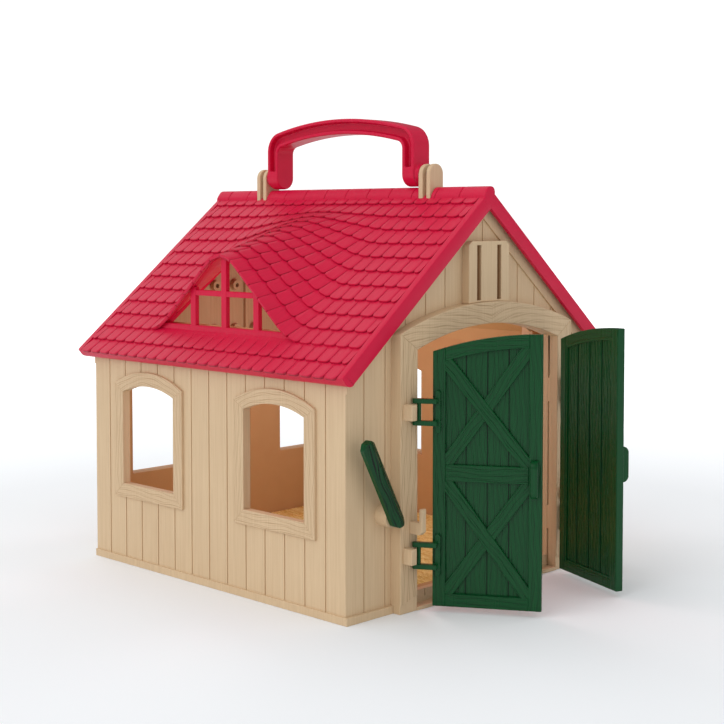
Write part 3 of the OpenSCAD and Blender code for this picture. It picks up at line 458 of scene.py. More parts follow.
def on_roof(side, x, y, n, hood):
    """The point n mm square over the slope at (x, y); side is -1 for the left slope, +1 for the right."""
    zx, zy = slope_slopes(x, y, hood)
    size = np.sqrt(1 + zx ** 2 + zy ** 2)
    return np.stack([side * (x - n * zx / size), y - n * zy / size,
                     slope_z(x, y, hood) + n / size], -1)


def hole_half(x):
    """Half width of the opening under the hood, from the law of a squared cosine 68 mm wide."""
    share = np.clip(2 / (HOOD_H * np.maximum(hood_share(x), 1e-3)), 0, 1)
    return 68 * np.arccos(np.sqrt(share)) * 2 / np.pi


# %% Skin of each slope
BASE_N, VERGE_N, SKIN = -0.75, 0.0, 3.0
SIDE_Y = VERGE_Y - 0.12
EAVE_S = SLOPE_L - 1.0
POCKET_S, POCKET_Y = SLOPE_L - 5.2, VERGE_Y - 2.5
HOLE_X = (27.4, 103.3)
HOOD_RIM = 1.9


def slope_skin(side):
    """Sheet under the tiles: rows run down the slope, columns across, with deep edges and a round
    eave. The left one is open under the hood."""
    arc = np.radians([0, 22, 45, 68, 90])
    hole = np.linspace(*HOLE_X, 14)
    s_top = np.concatenate([[0, 10], hole / math.cos(PITCH), [140, POCKET_S, POCKET_S + 0.05,
                            EAVE_S - 3, EAVE_S - 2, EAVE_S - 1.2, EAVE_S - 0.5, EAVE_S]])
    s_low, n_low = s_top.copy(), np.full(len(s_top), -SKIN)
    round_s = EAVE_S - 4.4 + 4.4 * np.sin(arc)
    round_n = -EDGE_DEPTH + 4.4 * (1 - np.cos(arc))
    s_low[-5:], n_low[-5:] = round_s, round_n
    s_low[-6], n_low[-6] = POCKET_S + 0.05, -EDGE_DEPTH
    x = s_top * math.cos(PITCH)
    gap = 0.9 * VERGE_Y
    edge = hole_half(np.clip(x, *HOLE_X)) if side < 0 else np.full(len(x), 30.0)
    inner = np.linspace(-1, 1, 9)
    far = np.array([SIDE_Y, SIDE_Y - 0.15, SIDE_Y - 0.6, MARGIN_Y + 0.35, MARGIN_Y + 0.3,
                    gap, gap - 12])
    far_n = np.array([VERGE_N - 0.6, VERGE_N - 0.15, VERGE_N, VERGE_N, BASE_N, BASE_N, BASE_N])
    far_low = np.array([SIDE_Y, SIDE_Y - 0.15, SIDE_Y - 0.6, POCKET_Y, POCKET_Y - 0.05, gap,
                        gap - 12])
    deep = np.array([0.6, 0.15, 0, 0, 9, 9, 9])
    y_top, y_low = (np.concatenate([-np.tile(away, (len(x), 1)), edge[:, None] * inner,
                                    np.tile(away[::-1], (len(x), 1))], 1)
                    for away in (far, far_low))
    n_top = np.concatenate([far_n, np.full(9, BASE_N), far_n[::-1]])[None, :]
    rim = np.concatenate([deep, np.full(9, 9), deep[::-1]])[None, :]
    n_bottom = np.where(rim < 5, np.minimum(n_low[:, None], -EDGE_DEPTH + rim), n_low[:, None])
    n_bottom[-5:] = np.maximum(n_bottom[-5:], round_n[:, None])
    u = s_top[:, None] * math.cos(PITCH) + 0 * y_top
    top = on_roof(side, u, y_top, n_top + 0 * u, False)
    low = on_roof(side, s_low[:, None] * math.cos(PITCH) + 0 * y_low, y_low, n_bottom, False)
    for sheet, n in ((top, n_top + 0 * u), (low, n_bottom)):
        sheet[0, :, 0] = 0.02 * side
        sheet[0, :, 2] = RIDGE_Z + n[0] / math.cos(PITCH)
    keep = np.ones((top.shape[0] - 1, top.shape[1] - 1), bool)
    if side < 0:
        keep[2:1 + len(hole), len(far):len(far) + len(inner) - 1] = False
    return closed_sheet(top, low, keep)


def hood_skin():
    """Shell of the hood: a grid of 39 by 72 cells, 3.4 mm thick upright and thinner at the window."""
    x = np.linspace(HOOD_FRONT - 1.0, HOOD_END + 4, 40)[:, None]
    y = np.linspace(-HOOD_HALF + 1, HOOD_HALF - 1, 73)[None, :]
    x, y = x + 0 * y, y + 0 * x
    top = on_roof(-1, x, y, np.full(x.shape, BASE_N), True)
    thick = np.interp(x, [95, 100.5], [3.4, HOOD_RIM])
    low = np.stack([-x, y, slope_z(x, y, True) - thick], -1)
    return closed_sheet(top, low)


# %% [markdown]
# ## The tiles
# The photographed tiles are wedges: thin where they slide under the course above and
# 1.3 mm proud at the lower edge, with two round corners. One template is made on a grid
# of 8 by 8 points, and whole courses are placed at once. The courses keep a constant
# distance from the ridge, so they sweep over the hood. The joints stand square to them,
# and each second course is shifted by half a tile.

# %% Joints of a course
def course_joints(x, hood):
    """Places y along a course and the number of tiles up to each. Tiles are about 9.9 mm wide on the
    flat and wider on the hood's flanks, by a power that halving finds so that whole tiles fit."""
    y = np.linspace(-MARGIN_Y, MARGIN_Y, 2401)
    stretch = np.sqrt(1 + slope_slopes(np.full(y.shape, x), y, hood)[1] ** 2)

    def count(power):
        """Number of tiles from one verge to each y, if widths shrink by stretch to the power."""
        steps = (stretch[1:] ** power + stretch[:-1] ** power) / 2 * (y[1] - y[0]) / TILE_W
        return np.concatenate([[0], np.cumsum(steps)])
    wanted = round(count(0.65)[-1])
    low, high = 0.0, 1.6
    for _ in range(30):
        middle = (low + high) / 2
        low, high = (middle, high) if count(middle)[-1] < wanted else (low, middle)
    along = count(low)
    return y, along * wanted / along[-1], wanted


# %% Tiles of one course
LAP, CORNER, WINDOW_COURSE = 0.6, 2.6, 11


def tile_course(side, k, hood):
    """All tiles of course k as one part: p runs across a tile from -1 to 1, and down is in mm.
    The hood ends with the window course, whose tiles there are cut straight."""
    upper = max(0.1, (k - 1) * EAVE_X / COURSES + LAP)
    lower = EAVE_X - 0.02 if k == COURSES else k * EAVE_X / COURSES + LAP
    y_line, u_line, total = course_joints(lower, hood)
    shift = 0.5 * ((k + 1) % 2)
    joints = np.unique(np.clip(np.arange(-1, total + 2) + shift, 0, total))
    y_joint = np.interp(joints, u_line, y_line)
    width = np.diff(y_joint)[:, None, None]
    length = (lower - upper) / math.cos(PITCH)
    p = np.array([-1, -0.97, -0.9, -0.45, 0.45, 0.9, 0.97, 1.0])[None, None, :]
    centre = ((y_joint[1:] + y_joint[:-1]) / 2)[:, None, None]
    corner = np.minimum(CORNER, 0.42 * width)
    down = np.concatenate([[-LAP, 0.2, 0.6 * length],
                           length - CORNER * np.array([1, 0.62, 0.3, 0.08, 0])])[None, :, None]
    into = np.clip((down - (length - CORNER)) / CORNER, 0, 1)
    pinch = corner * (1 - np.sqrt(1 - into ** 2))
    at_window = bool(hood and k == WINDOW_COURSE)
    smooth = np.where((np.abs(centre) < HOOD_HALF - 8) & at_window, 0.1, 1.0)
    half = width / 2 - 0.09 * smooth - pinch * 0.9 * smooth
    y_low = centre + half * p
    x = (lower - (length - down) * math.cos(PITCH)) + 0 * y_low
    x_low = np.full(x.shape, lower)
    zx, zy = slope_slopes(x_low, y_low, hood)
    y = y_low + zx * zy / (1 + zy ** 2) * (x_low - x)
    y = np.clip(y, -MARGIN_Y - 0.1, MARGIN_Y + 0.1)
    rise = -TILE_T / 2 + TILE_T * np.clip(down / length, 0, 1) + 0 * y
    edge_fall = 0.32 * np.clip((np.abs(p) - 0.9) / 0.1, 0, 1) ** 1.6
    end_fall = 0.34 * np.clip((down - (length - 0.25)) / 0.25, 0, 1) ** 2
    top = on_roof(side, x, y, rise - edge_fall - end_fall, hood)
    skirt = on_roof(side, x, y, np.full(x.shape, BASE_N - 0.45), hood)
    # Rounded tile edges and joint walls are painted darker, as painted shade between tiles; less so at
    # the window course.
    carve_and_shade = np.clip(edge_fall * 1.2 + 0 * y, 0, 1)
    shade = 0.3 if at_window else 0.9
    return joined([closed_relief(top[i], skirt[i], carve_and_shade[i], shade) for i in range(len(top))])


# %% Both slopes
for side, word in ((-1, "left"), (1, "right")):
    hood = side < 0
    parts = [slope_skin(side)] + ([hood_skin()] if hood else [])
    parts += [tile_course(side, k, hood and k <= WINDOW_COURSE) for k in range(1, COURSES + 1)]
    dress(word + "_roof_tiles", parts, CRIMSON, "house", "red_plastic", "roof_" + word, sharp=38)

# %% [markdown]
# ## The ridge caps
# A row of half-round caps covers the line where the slopes meet. Each is an arch-shaped
# profile carried a short way along the ridge, with ends cut at 12 degrees and pulled in
# a little, so that a thin dark line shows between neighbours.

# %% Ridge caps
CAP_OUTLINE = np.array([[-6.2, 232], [-6.2, 235.7], [-6.0, 236.5], [-5.3, 237.6], [-4.2, 239.1],
                        [-3.2, 240.3], [-2.2, 241.05], [-1.0, 241.38], [0.6, 241.38], [1.7, 241.1],
                        [2.6, 240.4], [3.2, 239.4], [3.5, 238.4], [3.5, 236.0]])


def ridge_cap(start, end, slant_start, slant_end):
    """Profile carried from start to end, its last 1.5 mm rounded in by up to 0.55 mm. A slant of 1
    cuts an end at 12 degrees and 0 cuts it square."""
    reach = np.array([0, 0.1, 0.35, 0.8, 1.5])
    fall = np.array([0.55, 0.3, 0.12, 0.03, 0.0])
    along = np.concatenate([reach, (end - start) - reach[::-1]])
    fall = np.concatenate([fall, fall[::-1]])[:, None]
    centre = np.array([-1.5, 234.5])
    spoke = CAP_OUTLINE - centre
    size = np.linalg.norm(spoke, axis=1, keepdims=True)
    ring = centre + spoke[None] * (1 - fall[:, :, None] / size[None])
    share = along[:, None] / (end - start)
    slant = math.tan(math.radians(12)) * ((1 - share) * slant_start + share * slant_end)
    y = start + along[:, None] - slant * (ring[..., 0] - centre[0])
    y = np.clip(y, -VERGE_Y, VERGE_Y)
    top = np.stack([ring[..., 0], y, ring[..., 1]], -1)
    flat = np.stack([np.clip(ring[..., 0], -5, 2), y, np.full(y.shape, 231.0)], -1)
    return closed_relief(top, flat, np.zeros(y.shape), 0.0)


CAP_L, LUG_SLOT = 19.4, (70.0, 80.5)
cap_ends = -VERGE_Y + CAP_L * np.arange(1, 13)
caps = []
for low, high in ((-VERGE_Y, -LUG_SLOT[1]), (-LUG_SLOT[0], LUG_SLOT[0]), (LUG_SLOT[1], VERGE_Y)):
    cuts = [low, *[j for j in cap_ends if low + 1.5 < j < high - 1.5], high]
    for a, b in zip(cuts[:-1], cuts[1:]):
        caps.append(ridge_cap(a + 0.2 * (a != low), b - 0.2 * (b != high),
                              float(a != low), float(b != high)))
dress("ridge_caps", caps, CRIMSON, "house", "red_plastic", sharp=50)

# %% [markdown]
# ## Carved boards
# Window frames, the door casing and the doors are made of boards with wood grain cut
# into the mould. One function makes them all: a board is the grid of points between
# two edge lines. Its height falls off at the edges like a quarter circle, and the grain
# lowers it by a wave across the board, which long slow waves push to and fro.

# %% A board between two edge lines
def spaced(length, step, edge):
    """Distances from 0 to length: even steps, with five close ones inside each rounded edge."""
    near = edge * np.array([0, 0.08, 0.3, 0.62, 1.0])
    middle = np.linspace(edge, length - edge, max(2, int(round((length - 2 * edge) / step)) + 1))
    return np.concatenate([near, middle[1:-1], length - near[::-1]])


def resampled(line, at):
    """The points of a line at given shares of its length, by linear interpolation."""
    line = np.asarray(line, float)
    run = np.concatenate([[0], np.cumsum(np.linalg.norm(np.diff(line, axis=0), axis=1))])
    return np.stack([np.interp(at * run[-1], run, line[:, i]) for i in range(2)], -1)


def grain(along, across, seed, pitch):
    """Depth of the carved lines, 0 to 1: a sharpened cosine across the board, bent by slow waves."""
    s = seed * 1.7
    bend = (0.9 * np.sin(along / 15.0 + s) + 0.5 * np.sin(along / 6.1 + across / 2.7 + 2.3 * s)
            + 0.25 * np.sin(along / 2.9 - across / 1.9 + 4.1 * s))
    lines = (0.5 + 0.5 * np.cos(2 * np.pi * (across + bend) / pitch)) ** 2.5
    broken = 0.55 + 0.45 * np.sin(along / 9.7 + 2.1 * np.floor((across + bend) / pitch + 0.5) + s)
    return lines * broken


def board(first, second, place, top, base, seed, relief=0.16, edge=0.4, pitch=1.15, slant=0.0,
          step=1.6, shade=0.0):
    """A board between two edge lines in a flat drawing, from height base up to top, with rounded
    edges and grain cut relief deep. place turns (p, q, height) into the barn's frame."""
    share = np.linspace(0, 1, 60)
    first, second = resampled(first, share), resampled(second, share)
    middle = (first + second) / 2
    length = np.linalg.norm(np.diff(middle, axis=0), axis=1).sum()
    width = np.linalg.norm(first - second, axis=1).mean()
    a, b = spaced(length, step, edge), spaced(width, pitch / 4, edge)
    p, q = resampled(first, a / length), resampled(second, a / length)
    flat = p[:, None] + (q - p)[:, None] * (b / width)[None, :, None]
    a, b = a[:, None] + 0 * b[None, :], b[None, :] + 0 * a[:, None]
    from_end = np.minimum(a, length - a)
    from_side = np.minimum(b, width - b)
    fall = sum(edge - np.sqrt(np.clip(edge ** 2 - np.clip(edge - d, 0, edge) ** 2, 0, None))
               for d in (from_end, from_side))
    cut = (grain(a, b + slant * from_end, seed, pitch) * np.clip(from_side / edge, 0, 1)
           * np.clip(from_end / edge, 0, 1))
    height = top - np.minimum(fall, 1.3 * edge) - relief * cut
    # Carved grain and rounded edges are painted darker, as painted shade, and the foot of the walls takes
    # shade.
    return closed_relief(place(flat[..., 0], flat[..., 1], height),
                         place(flat[..., 0], flat[..., 1], np.full(height.shape, base)),
                         np.clip(0.55 * cut + 0.25 * np.clip(fall / edge - 0.4, 0, 1), 0, 1), shade)


def arch(half, spring, rise, count=41):
    """Points of an arch from -half to half: a circle whose radius fits its half width and rise."""
    radius = (half * half + rise * rise) / (2 * rise)
    x = np.linspace(-half, half, count)
    return np.stack([x, spring + rise - radius + np.sqrt(radius ** 2 - x ** 2)], -1)


# %% [markdown]
# ## Window frames
# Six windows have a frame of four boards: two uprights, an arched head and a sill. The
# solid already has a plain frame there, so the carved boards stand 0.22 mm over it on
# every side and hide it.

# %% Frames of the side and rear windows
WINDOW_HALF, WINDOW_SPRING, WINDOW_RISE, WINDOW_SILL = 26.0, 111.4, 5.3, 52.1
FRAME_HALF, FRAME_SPRING, FRAME_RISE, FRAME_LOW = 34.4, 116.7, 8.4, 43.7


def window_frame(place, seed):
    """Four boards between the opening and the frame's outer outline, with mitred corners."""
    g = 0.22
    inner = arch(WINDOW_HALF - g, WINDOW_SPRING, WINDOW_RISE - g)
    outer = arch(FRAME_HALF + g, FRAME_SPRING, FRAME_RISE + g)
    (a, top_in), (b, top_out) = inner[-1], outer[-1]
    low_in, low_out = WINDOW_SILL + g, FRAME_LOW - g
    lines = [(inner, outer, 1), ([[-a, low_in], [a, low_in]], [[-b, low_out], [b, low_out]], 2)]
    for s in (-1, 1):
        lines.append(([[s * a, low_in], [s * a, top_in]], [[s * b, low_out], [s * b, top_out]], 3 + s))
    return [board(p, q, place, 1.5 + g, 0.02, seed + 5 * i) for p, q, i in lines]


for name, face, middle in (("left_front", "x-", -59), ("left_back", "x-", 59),
                           ("right_front", "x+", -59), ("right_back", "x+", 59),
                           ("rear_left", "y+", -66), ("rear_right", "y+", 66)):
    if face == "y+":
        def place(p, q, h, m=middle):
            return np.stack([m + p, HALF_L + h, q], -1)
    else:
        def place(p, q, h, m=middle, s=-1 if face == "x-" else 1):
            return np.stack([s * (HALF_W + h), m + p, q], -1)
    dress(name + "_window_frame", window_frame(place, 1 + middle % 7), BEIGE, "house",
          "beige_plastic")

# %% [markdown]
# ## The side liners
# In the photograph no brown edge shows inside a window, only the beige one: the opening
# in the inner wall is a little wider than the one in the outer wall. So the openings of
# the two side liners are stretched about their middles.

# %% Side liners with wider openings
SIDE_WINDOW_Y, WIDER_HALF = 59, 30.5


def wide_openings(points):
    """Stretches each opening's points about its middle by WIDER_HALF to WINDOW_HALF, and drops
    its sill by 1.5."""
    middle = SIDE_WINDOW_Y * np.sign(points[:, 1])
    off = points[:, 1] - middle
    near = (np.abs(off) < WINDOW_HALF + 1) & (points[:, 2] > 50) & (points[:, 2] < 118.5)
    points[:, 1] = np.where(near, middle + off * WIDER_HALF / WINDOW_HALF, points[:, 1])
    points[:, 2] -= np.where(near & (points[:, 2] < WINDOW_SILL + 0.1), 1.5, 0)
    return points


for side in ("left", "right"):
    rounded_copy(side + "_liner", 0.25, BROWN, "house", "brown_plastic", push=wide_openings)

# %% [markdown]
# ## The latch bars
# Each latch is a bar with a ridge along its front and grain carved along its length. It
# rests 62 degrees above level. The carved shell is 0.12 mm larger than the solid bar,
# which keeps the shaft that goes through the wall.

# %% Carved latch bars
BAR_L, BAR_END, BAR_ANGLE = 56, 5.5, math.radians(62)
LATCH_X, LATCH_Z = 86.5, 57


def latch_shell(side):
    """Height over a grid: a ridge falling 2 in 3 to both sides, less the grain, with cut corners.
    The bar turns about a point BAR_END from its lower end."""
    along = spaced(BAR_L, 0.75, 0.4)[:, None]
    q = np.linspace(-1, 1, 33)[None, :]
    from_end = np.minimum(along, BAR_L - along)
    across = np.minimum(4.62, 1.9 + 0.9 * from_end) * q
    cut = grain(along + 0 * q, across, 4, 1.25) * (1 - q ** 8) * np.clip(from_end / 0.8, 0, 1)
    height = (5.32 - np.clip(np.abs(across) - 0.6, 0, None) * 0.66 - 0.45 * cut
              - 0.5 * np.clip(1 - from_end / 0.5, 0, 1) ** 2)
    c, s = math.cos(BAR_ANGLE), math.sin(BAR_ANGLE)
    x = side * (LATCH_X + (along - BAR_END) * c - across * s)
    z = LATCH_Z + (along - BAR_END) * s + across * c
    top = np.stack([x, BAR_BACK - height, z], -1)
    skirt = np.stack([x, np.full(x.shape, BAR_BACK + 0.05), z], -1)
    # The carved lines are painted darker, as painted shade in the cuts, and the whole bar a little
    # darker.
    return closed_relief(top, skirt, np.clip(0.2 + 1.2 * cut, 0, 1), 0.0)


for side, word in ((-1, "left"), (1, "right")):
    dress(word + "_latch_grain", [latch_shell(side)], GREEN, word + "_latch", "green_plastic")

# %% [markdown]
# ## The dormer window
# The window under the hood is a red grille: a rim that follows the hood, a sill, three
# uprights and a crossbar. Each bar is a board without grain, set a tenth of a
# millimetre deeper than the one it meets.

# %% Grille of the dormer window
GRILLE_X, GRILLE_SILL = 100.3, 156.4
UPRIGHT_Y, UPRIGHT_HALF, CROSSBAR_Z = 29.4, 2.4, (174.9, 178.3)


def grille_place(p, q, h):
    """Heights go outwards, from GRILLE_X mm left of the ridge."""
    return np.stack([-GRILLE_X - h, p, q], -1)


def dormer_grille():
    """Boards whose upper ends follow the underside of the hood, less the rim."""
    y = np.linspace(-HOOD_HALF, HOOD_HALF, 145)
    roof = slope_z(GRILLE_X + 1.5, y, True)
    under, rim = roof - 1.0, roof - HOOD_RIM - 1.0
    over = rim > GRILLE_SILL
    bars = [(2.8, np.stack([y, rim], -1)[over], np.stack([y, under], -1)[over]),
            (3.0, np.stack([y, np.full(y.shape, 152.0)], -1),
             np.stack([y, np.minimum(GRILLE_SILL, under)], -1))]
    for middle in (-UPRIGHT_Y, 0.0, UPRIGHT_Y):
        low, high = GRILLE_SILL - 1, float(np.interp(middle, y, rim)) + 0.5
        bars.append((2.9, *([[middle + e, low], [middle + e, high]]
                            for e in (-UPRIGHT_HALF, UPRIGHT_HALF))))
    for a, b in ((-UPRIGHT_Y, 0), (0, UPRIGHT_Y)):
        bars.append((2.7, *([[a, z], [b, z]] for z in CROSSBAR_Z)))
    parts = [board(first, second, grille_place, top, 0, 1, 0.0, 0.35, 4) for top, first, second in bars]
    return [(p, q, o, 0 * c) for p, q, o, c in parts]


dress("dormer_grille", dormer_grille(), CRIMSON, "house", "red_plastic", "dormer_window")

# %% [markdown]
# ## The door casing
# The casing is one heavy moulding: two legs, and an arch over the doorway. A rounded
# copy of the solid carries the hinge knuckles and latch hooks. The photograph shows the
# knuckles beside the pins rather than around them, so boxes are cut off them. The
# copy's front is set back by 0.5 mm, and three carved boards bring it out to its true
# face. The grain of the arch runs up towards the middle from both sides.

# %% Casing body
SET_BACK, KNUCKLE_X, KNUCKLE_Y = 0.5, 72.4, -130.2
HOOK_X, HOOK_Z = 71.6, (43, 61)
BEYOND_Y, BEYOND_X, BEYOND_Z = -140, (60, 90), (20, 145)
boxes = []
for s in (-1, 1):
    for z0, z1 in ((BEYOND_Z[0], HOOK_Z[0]), (HOOK_Z[1], BEYOND_Z[1])):
        boxes.append(((s * KNUCKLE_X, BEYOND_Y, z0), (s * BEYOND_X[0], CASING_Y, z1)))
        boxes.append(((s * BEYOND_X[0], BEYOND_Y, z0), (s * BEYOND_X[1], KNUCKLE_Y, z1)))
    boxes.append(((s * HOOK_X, BEYOND_Y, HOOK_Z[0]), (s * BEYOND_X[1], CASING_Y, HOOK_Z[1])))
boxes = [tuple(np.sort(box, axis=0)) for box in boxes]
rounded_copy("door_casing", 0.35, BEIGE, "house", "beige_plastic", boxes=boxes,
             push=lambda p: p + np.where(np.abs(p[:, 1:2] - CASING_Y) < 0.02, [[0, SET_BACK, 0]], 0))


# %% Carved face of the casing
LEG_IN, LEG_OUT, SPRING_IN, SPRING_OUT = 65.2, 79.2, 148.5, 158.0


def casing_place(p, q, h):
    """Height h is measured outwards from the casing's set-back front."""
    return np.stack([p, CASING_Y + SET_BACK - h, q], -1)


door_arch, outer_arch = arch(LEG_IN, SPRING_IN, 11.5, 81), arch(LEG_OUT, SPRING_OUT, 14.9, 81)
faces = [board(door_arch, outer_arch, casing_place, SET_BACK, -0.3, 3, 0.26, 0.5, 1.7, 0.3)]
for s in (-1, 1):
    faces.append(board([[s * LEG_IN, 9.0], [s * LEG_IN, SPRING_IN]],
                       [[s * LEG_OUT, 4.6], [s * LEG_OUT, SPRING_OUT]],
                       casing_place, SET_BACK, -0.3, 6 + s, 0.13, 0.5, 1.5))
dress("door_casing_face", faces, BEIGE, "house", "beige_plastic")

# %% [markdown]
# ## The doors
# Each door is boards on boards: a frame of stiles and rails, a mid rail, two crossed
# braces above it and two below, over four upright planks. The inside shows the planks
# in a plain frame. The door is drawn flat, from its pin outwards, and a turn about the
# pin brings it to its open position.

# %% Boards of a door
PIN = np.array([-68.8, -128.35])
DOOR_U, DOOR_LOW, DOOR_V, DOOR_T = (7.0, 68.3), 3.7, 4.0, 5.1
STILE, MID_Z, MID_HALF, BRACE = 7.2, 79.6, 4.75, 7.2
DOOR_R, DOOR_CENTRE = 188.88, (68.8, -30.58)


def door_top(u, inset):
    """Height of the door's arched top, drawn in by inset, at distance u from the pin."""
    return DOOR_CENTRE[1] + np.sqrt((DOOR_R - inset) ** 2 - (u - DOOR_CENTRE[0]) ** 2)


def door_place(side, angle, outer):
    """Turns a door drawing into the barn's frame. Heights go outwards from the middle of the door."""
    c, s = math.cos(math.radians(-angle)), math.sin(math.radians(-angle))
    mid = DOOR_V + DOOR_T / 2

    def place(p, q, h):
        v = mid - h if outer else mid + h
        x = PIN[0] + p * c - v * s
        return np.stack([side * x, PIN[1] + p * s + v * c, q + 0 * p], -1)
    return place


def bar_edges(start, end, width):
    """The two long edges of a straight bar of that width between two points."""
    start, end = np.array(start, float), np.array(end, float)
    across = (end - start)[::-1] * [-1, 1] / np.linalg.norm(end - start) * width / 2
    return np.array([start + across, end + across]), np.array([start - across, end - across])


def door_boards(outer, place, seed):
    """All boards of one face of a door: planks, then rails and stiles, then the mid rail and braces
    of the outer face. Each has its own number, which sets its grain."""
    half, sink = DOOR_T / 2, 2.0 if outer else 1.2
    frame_w, inset = (STILE, 0.0) if outer else (STILE * 0.8, 0.07)
    base = 0.5 - half if outer else 0.0
    left, right, foot = DOOR_U[0] + inset, DOOR_U[1] - inset, DOOR_LOW + inset
    u0, u1 = left + frame_w, right - frame_w
    gap, cut = (0.2, 0.2) if outer else (0.5, 0.42)
    low = DOOR_LOW + frame_w - 1
    edges = np.linspace(u0 - 0.6, u1 + 0.6, 5)
    # The walls of the planks take the full groove colour at their foot, as painted shade in the joints.
    parts = [board(*([[u, low], [u, door_top(e, frame_w - 1)]] for u, e in ((a + gap, a), (b - gap, b))),
                   place, half - sink, 0, seed + i, cut, 0.4, 1.0, step=2.2, shade=1.0)
             for i, (a, b) in enumerate(zip(edges[:-1], edges[1:]))]

    def add(number, first, second, top=half, base=base):
        parts.append(board(first, second, place, top, base, seed + number, 0.2, 0.45, 1.0))

    rail_u = np.linspace(u0, u1, 30)
    add(7, *(np.stack([rail_u, door_top(rail_u, depth)], -1) for depth in (frame_w, inset)))
    add(8, *([[u0, z], [u1, z]] for z in (foot, foot + frame_w)))
    for i, pair in enumerate(((left, u0), (u1, right))):
        add(9 + i, *([[u, foot], [u, door_top(u, inset)]] for u in pair))
    if not outer:
        return parts
    add(12, *([[u0, z], [u1, z]] for z in (MID_Z - MID_HALF, MID_Z + MID_HALF)), base=0)
    tops = [float(door_top(u, STILE)) for u in (u0, u1)]
    for j, (z, left_top, right_top) in enumerate((
            (DOOR_LOW + STILE, MID_Z - MID_HALF, MID_Z - MID_HALF), (MID_Z + MID_HALF, *tops))):
        add(14 + 2 * j, *bar_edges((u0, left_top), (u1, z), BRACE), half - 0.15, 0)
        add(15 + 2 * j, *bar_edges((u0, z), (u1, right_top), BRACE), half - 0.45, 0)
    return parts


def door_core(place):
    """A plain board inside the door that stops light through the grooves, all in painted shade."""
    u = np.linspace(DOOR_U[0] + 1, DOOR_U[1] - 1, 25)
    core = board(np.stack([u, 0 * u + DOOR_LOW + 1], -1), np.stack([u, door_top(u, 1)], -1),
                 place, 0.3, -0.3, 0, 0.0, 0.1, 40)
    # The whole core takes the full groove colour: painted shade.
    return core[0], core[1], core[2], np.ones(len(core[0]))


def door_pull(side, angle):
    """Two halves of a raised grip 4.2 mm thick, its outline a low trapezoid with cut corners."""
    z, u, face, proud, half_l, cut = 78.0, 64.3, DOOR_V + 0.3, 5.4, 10.5, 2.2
    c, s = math.cos(math.radians(-angle)), math.sin(math.radians(-angle))
    crest = [[face, z - half_l], [face - proud + cut, z - half_l], [face - proud, z - half_l + cut],
             [face - proud, z + half_l - cut], [face - proud + cut, z + half_l], [face, z + half_l]]
    ridge = [[face - 0.02, z - half_l + 0.1], [face - 0.02, z + half_l - 0.1]]

    def turned(way):
        def place(v, q, h):
            p = u + way * h
            return np.stack([side * (PIN[0] + p * c - v * s), PIN[1] + p * s + v * c, q + 0 * p], -1)
        return place
    return [board(ridge, crest, turned(way), 2.1, 0, 0, 0.0, 0.7, 1.6, step=1.2) for way in (-1, 1)]


for side, word, angle, seed in ((1, "left", 58, 3), (-1, "right", 69, 31)):
    dress(word + "_pull_grip", door_pull(side, angle), GREEN, word + "_door", "green_plastic",
          word + "_pull")
    parts = (door_boards(True, door_place(side, angle, True), seed)
             + door_boards(False, door_place(side, angle, False), seed + 50)
             + [door_core(door_place(side, angle, True))])
    dress(word + "_door_boards", parts, GREEN, word + "_door", "green_plastic", word + "_door")

# %% [markdown]
# ## Coves over the side liners
# Seen through the doorway, the brown inner wall runs right up under the roof. A thin
# strip on each side, laid along the underside of the slope, makes that edge.

# %% Coves under the eaves
def cove(side, y0, y1):
    """A strip 1.2 mm thick just under the slope's inner face, from 95 to 106.5 mm off the ridge."""
    x = np.linspace(95, 106.5, 8)[:, None] + np.zeros((1, 2))
    y = np.array([[y0, y1]]) + 0 * x
    under = RIDGE_Z - SLOPE_TAN * x - (SKIN + 0.4) / math.cos(PITCH)
    top = np.stack([side * x, y, under], -1)
    low = np.stack([side * x, y, under - 1.5], -1)
    return closed_sheet(top, low)


for side, word in ((-1, "left"), (1, "right")):
    coves = [cove(side, a, b) for a, b in ((-104, -82), (-69, 69), (82, 104))]
    dress(word + "_liner_coves", coves, BROWN, "house", "brown_plastic")

# %% [markdown]
# ## The straw mat
# The mat is moulded as short stalks that cross each other. Its surface is a height
# field: the tops of three sets of parallel ridges, each turned by its own angle, and
# the highest of them wins at every point.

# %% Straw mat
def straw_surface():
    """Highest of three ridge patterns, each the size of a sine across stalks 1.9 mm apart."""
    low, high = (np.array(v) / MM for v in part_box("straw_mat"))
    x = np.linspace(low[0], high[0], 190)[:, None]
    y = np.linspace(low[1], high[1], 196)[None, :]
    height = np.zeros((190, 196))
    for turn, far in ((0.35, 11.0), (1.35, 14.0), (2.3, 12.5)):
        across = x * math.cos(turn) + y * math.sin(turn)
        along = y * math.cos(turn) - x * math.sin(turn)
        ridge = np.abs(np.sin(np.pi * (across + 0.6 * np.sin(along / 4.1)) / 1.9))
        patch = 0.5 + 0.5 * np.sin(along / far * 2 * np.pi + 3 * np.floor(across / 1.9))
        height = np.maximum(height, ridge * patch)
    x, y = x + 0 * y, y + 0 * x
    inside = np.clip(np.minimum(np.minimum(x - low[0], high[0] - x),
                                np.minimum(y - low[1], high[1] - y)) / 2, 0, 1)
    top = np.stack([x, y, high[2] - 0.9 + 0.9 * height * inside], -1)
    skirt = np.stack([x, y, np.full(x.shape, low[2])], -1)
    return closed_relief(top, skirt, np.zeros(x.shape))


dress("straw_relief", [straw_surface()], STRAW, "house", "straw_plastic", "straw_mat", sharp=80)

# %% [markdown]
# ## Stage, lamps and camera
# The toy was pictured on a white table under broad soft light, brightest from above
# and behind on the left. The table gives a little light of its own to the camera, more
# with distance, so that it turns into the white background while the shadow stays.

# %% Floor and world
def stage_floor():
    """A flat slab 12 m wide, just under the toy."""
    x, y = np.meshgrid([-6000, 0, 6000], [-6000, 0, 6000])
    top = np.stack([x, y, np.full(x.shape, -0.05)], -1)
    low = np.stack([x, y, np.full(x.shape, -20.0)], -1)
    return closed_sheet(top, low)


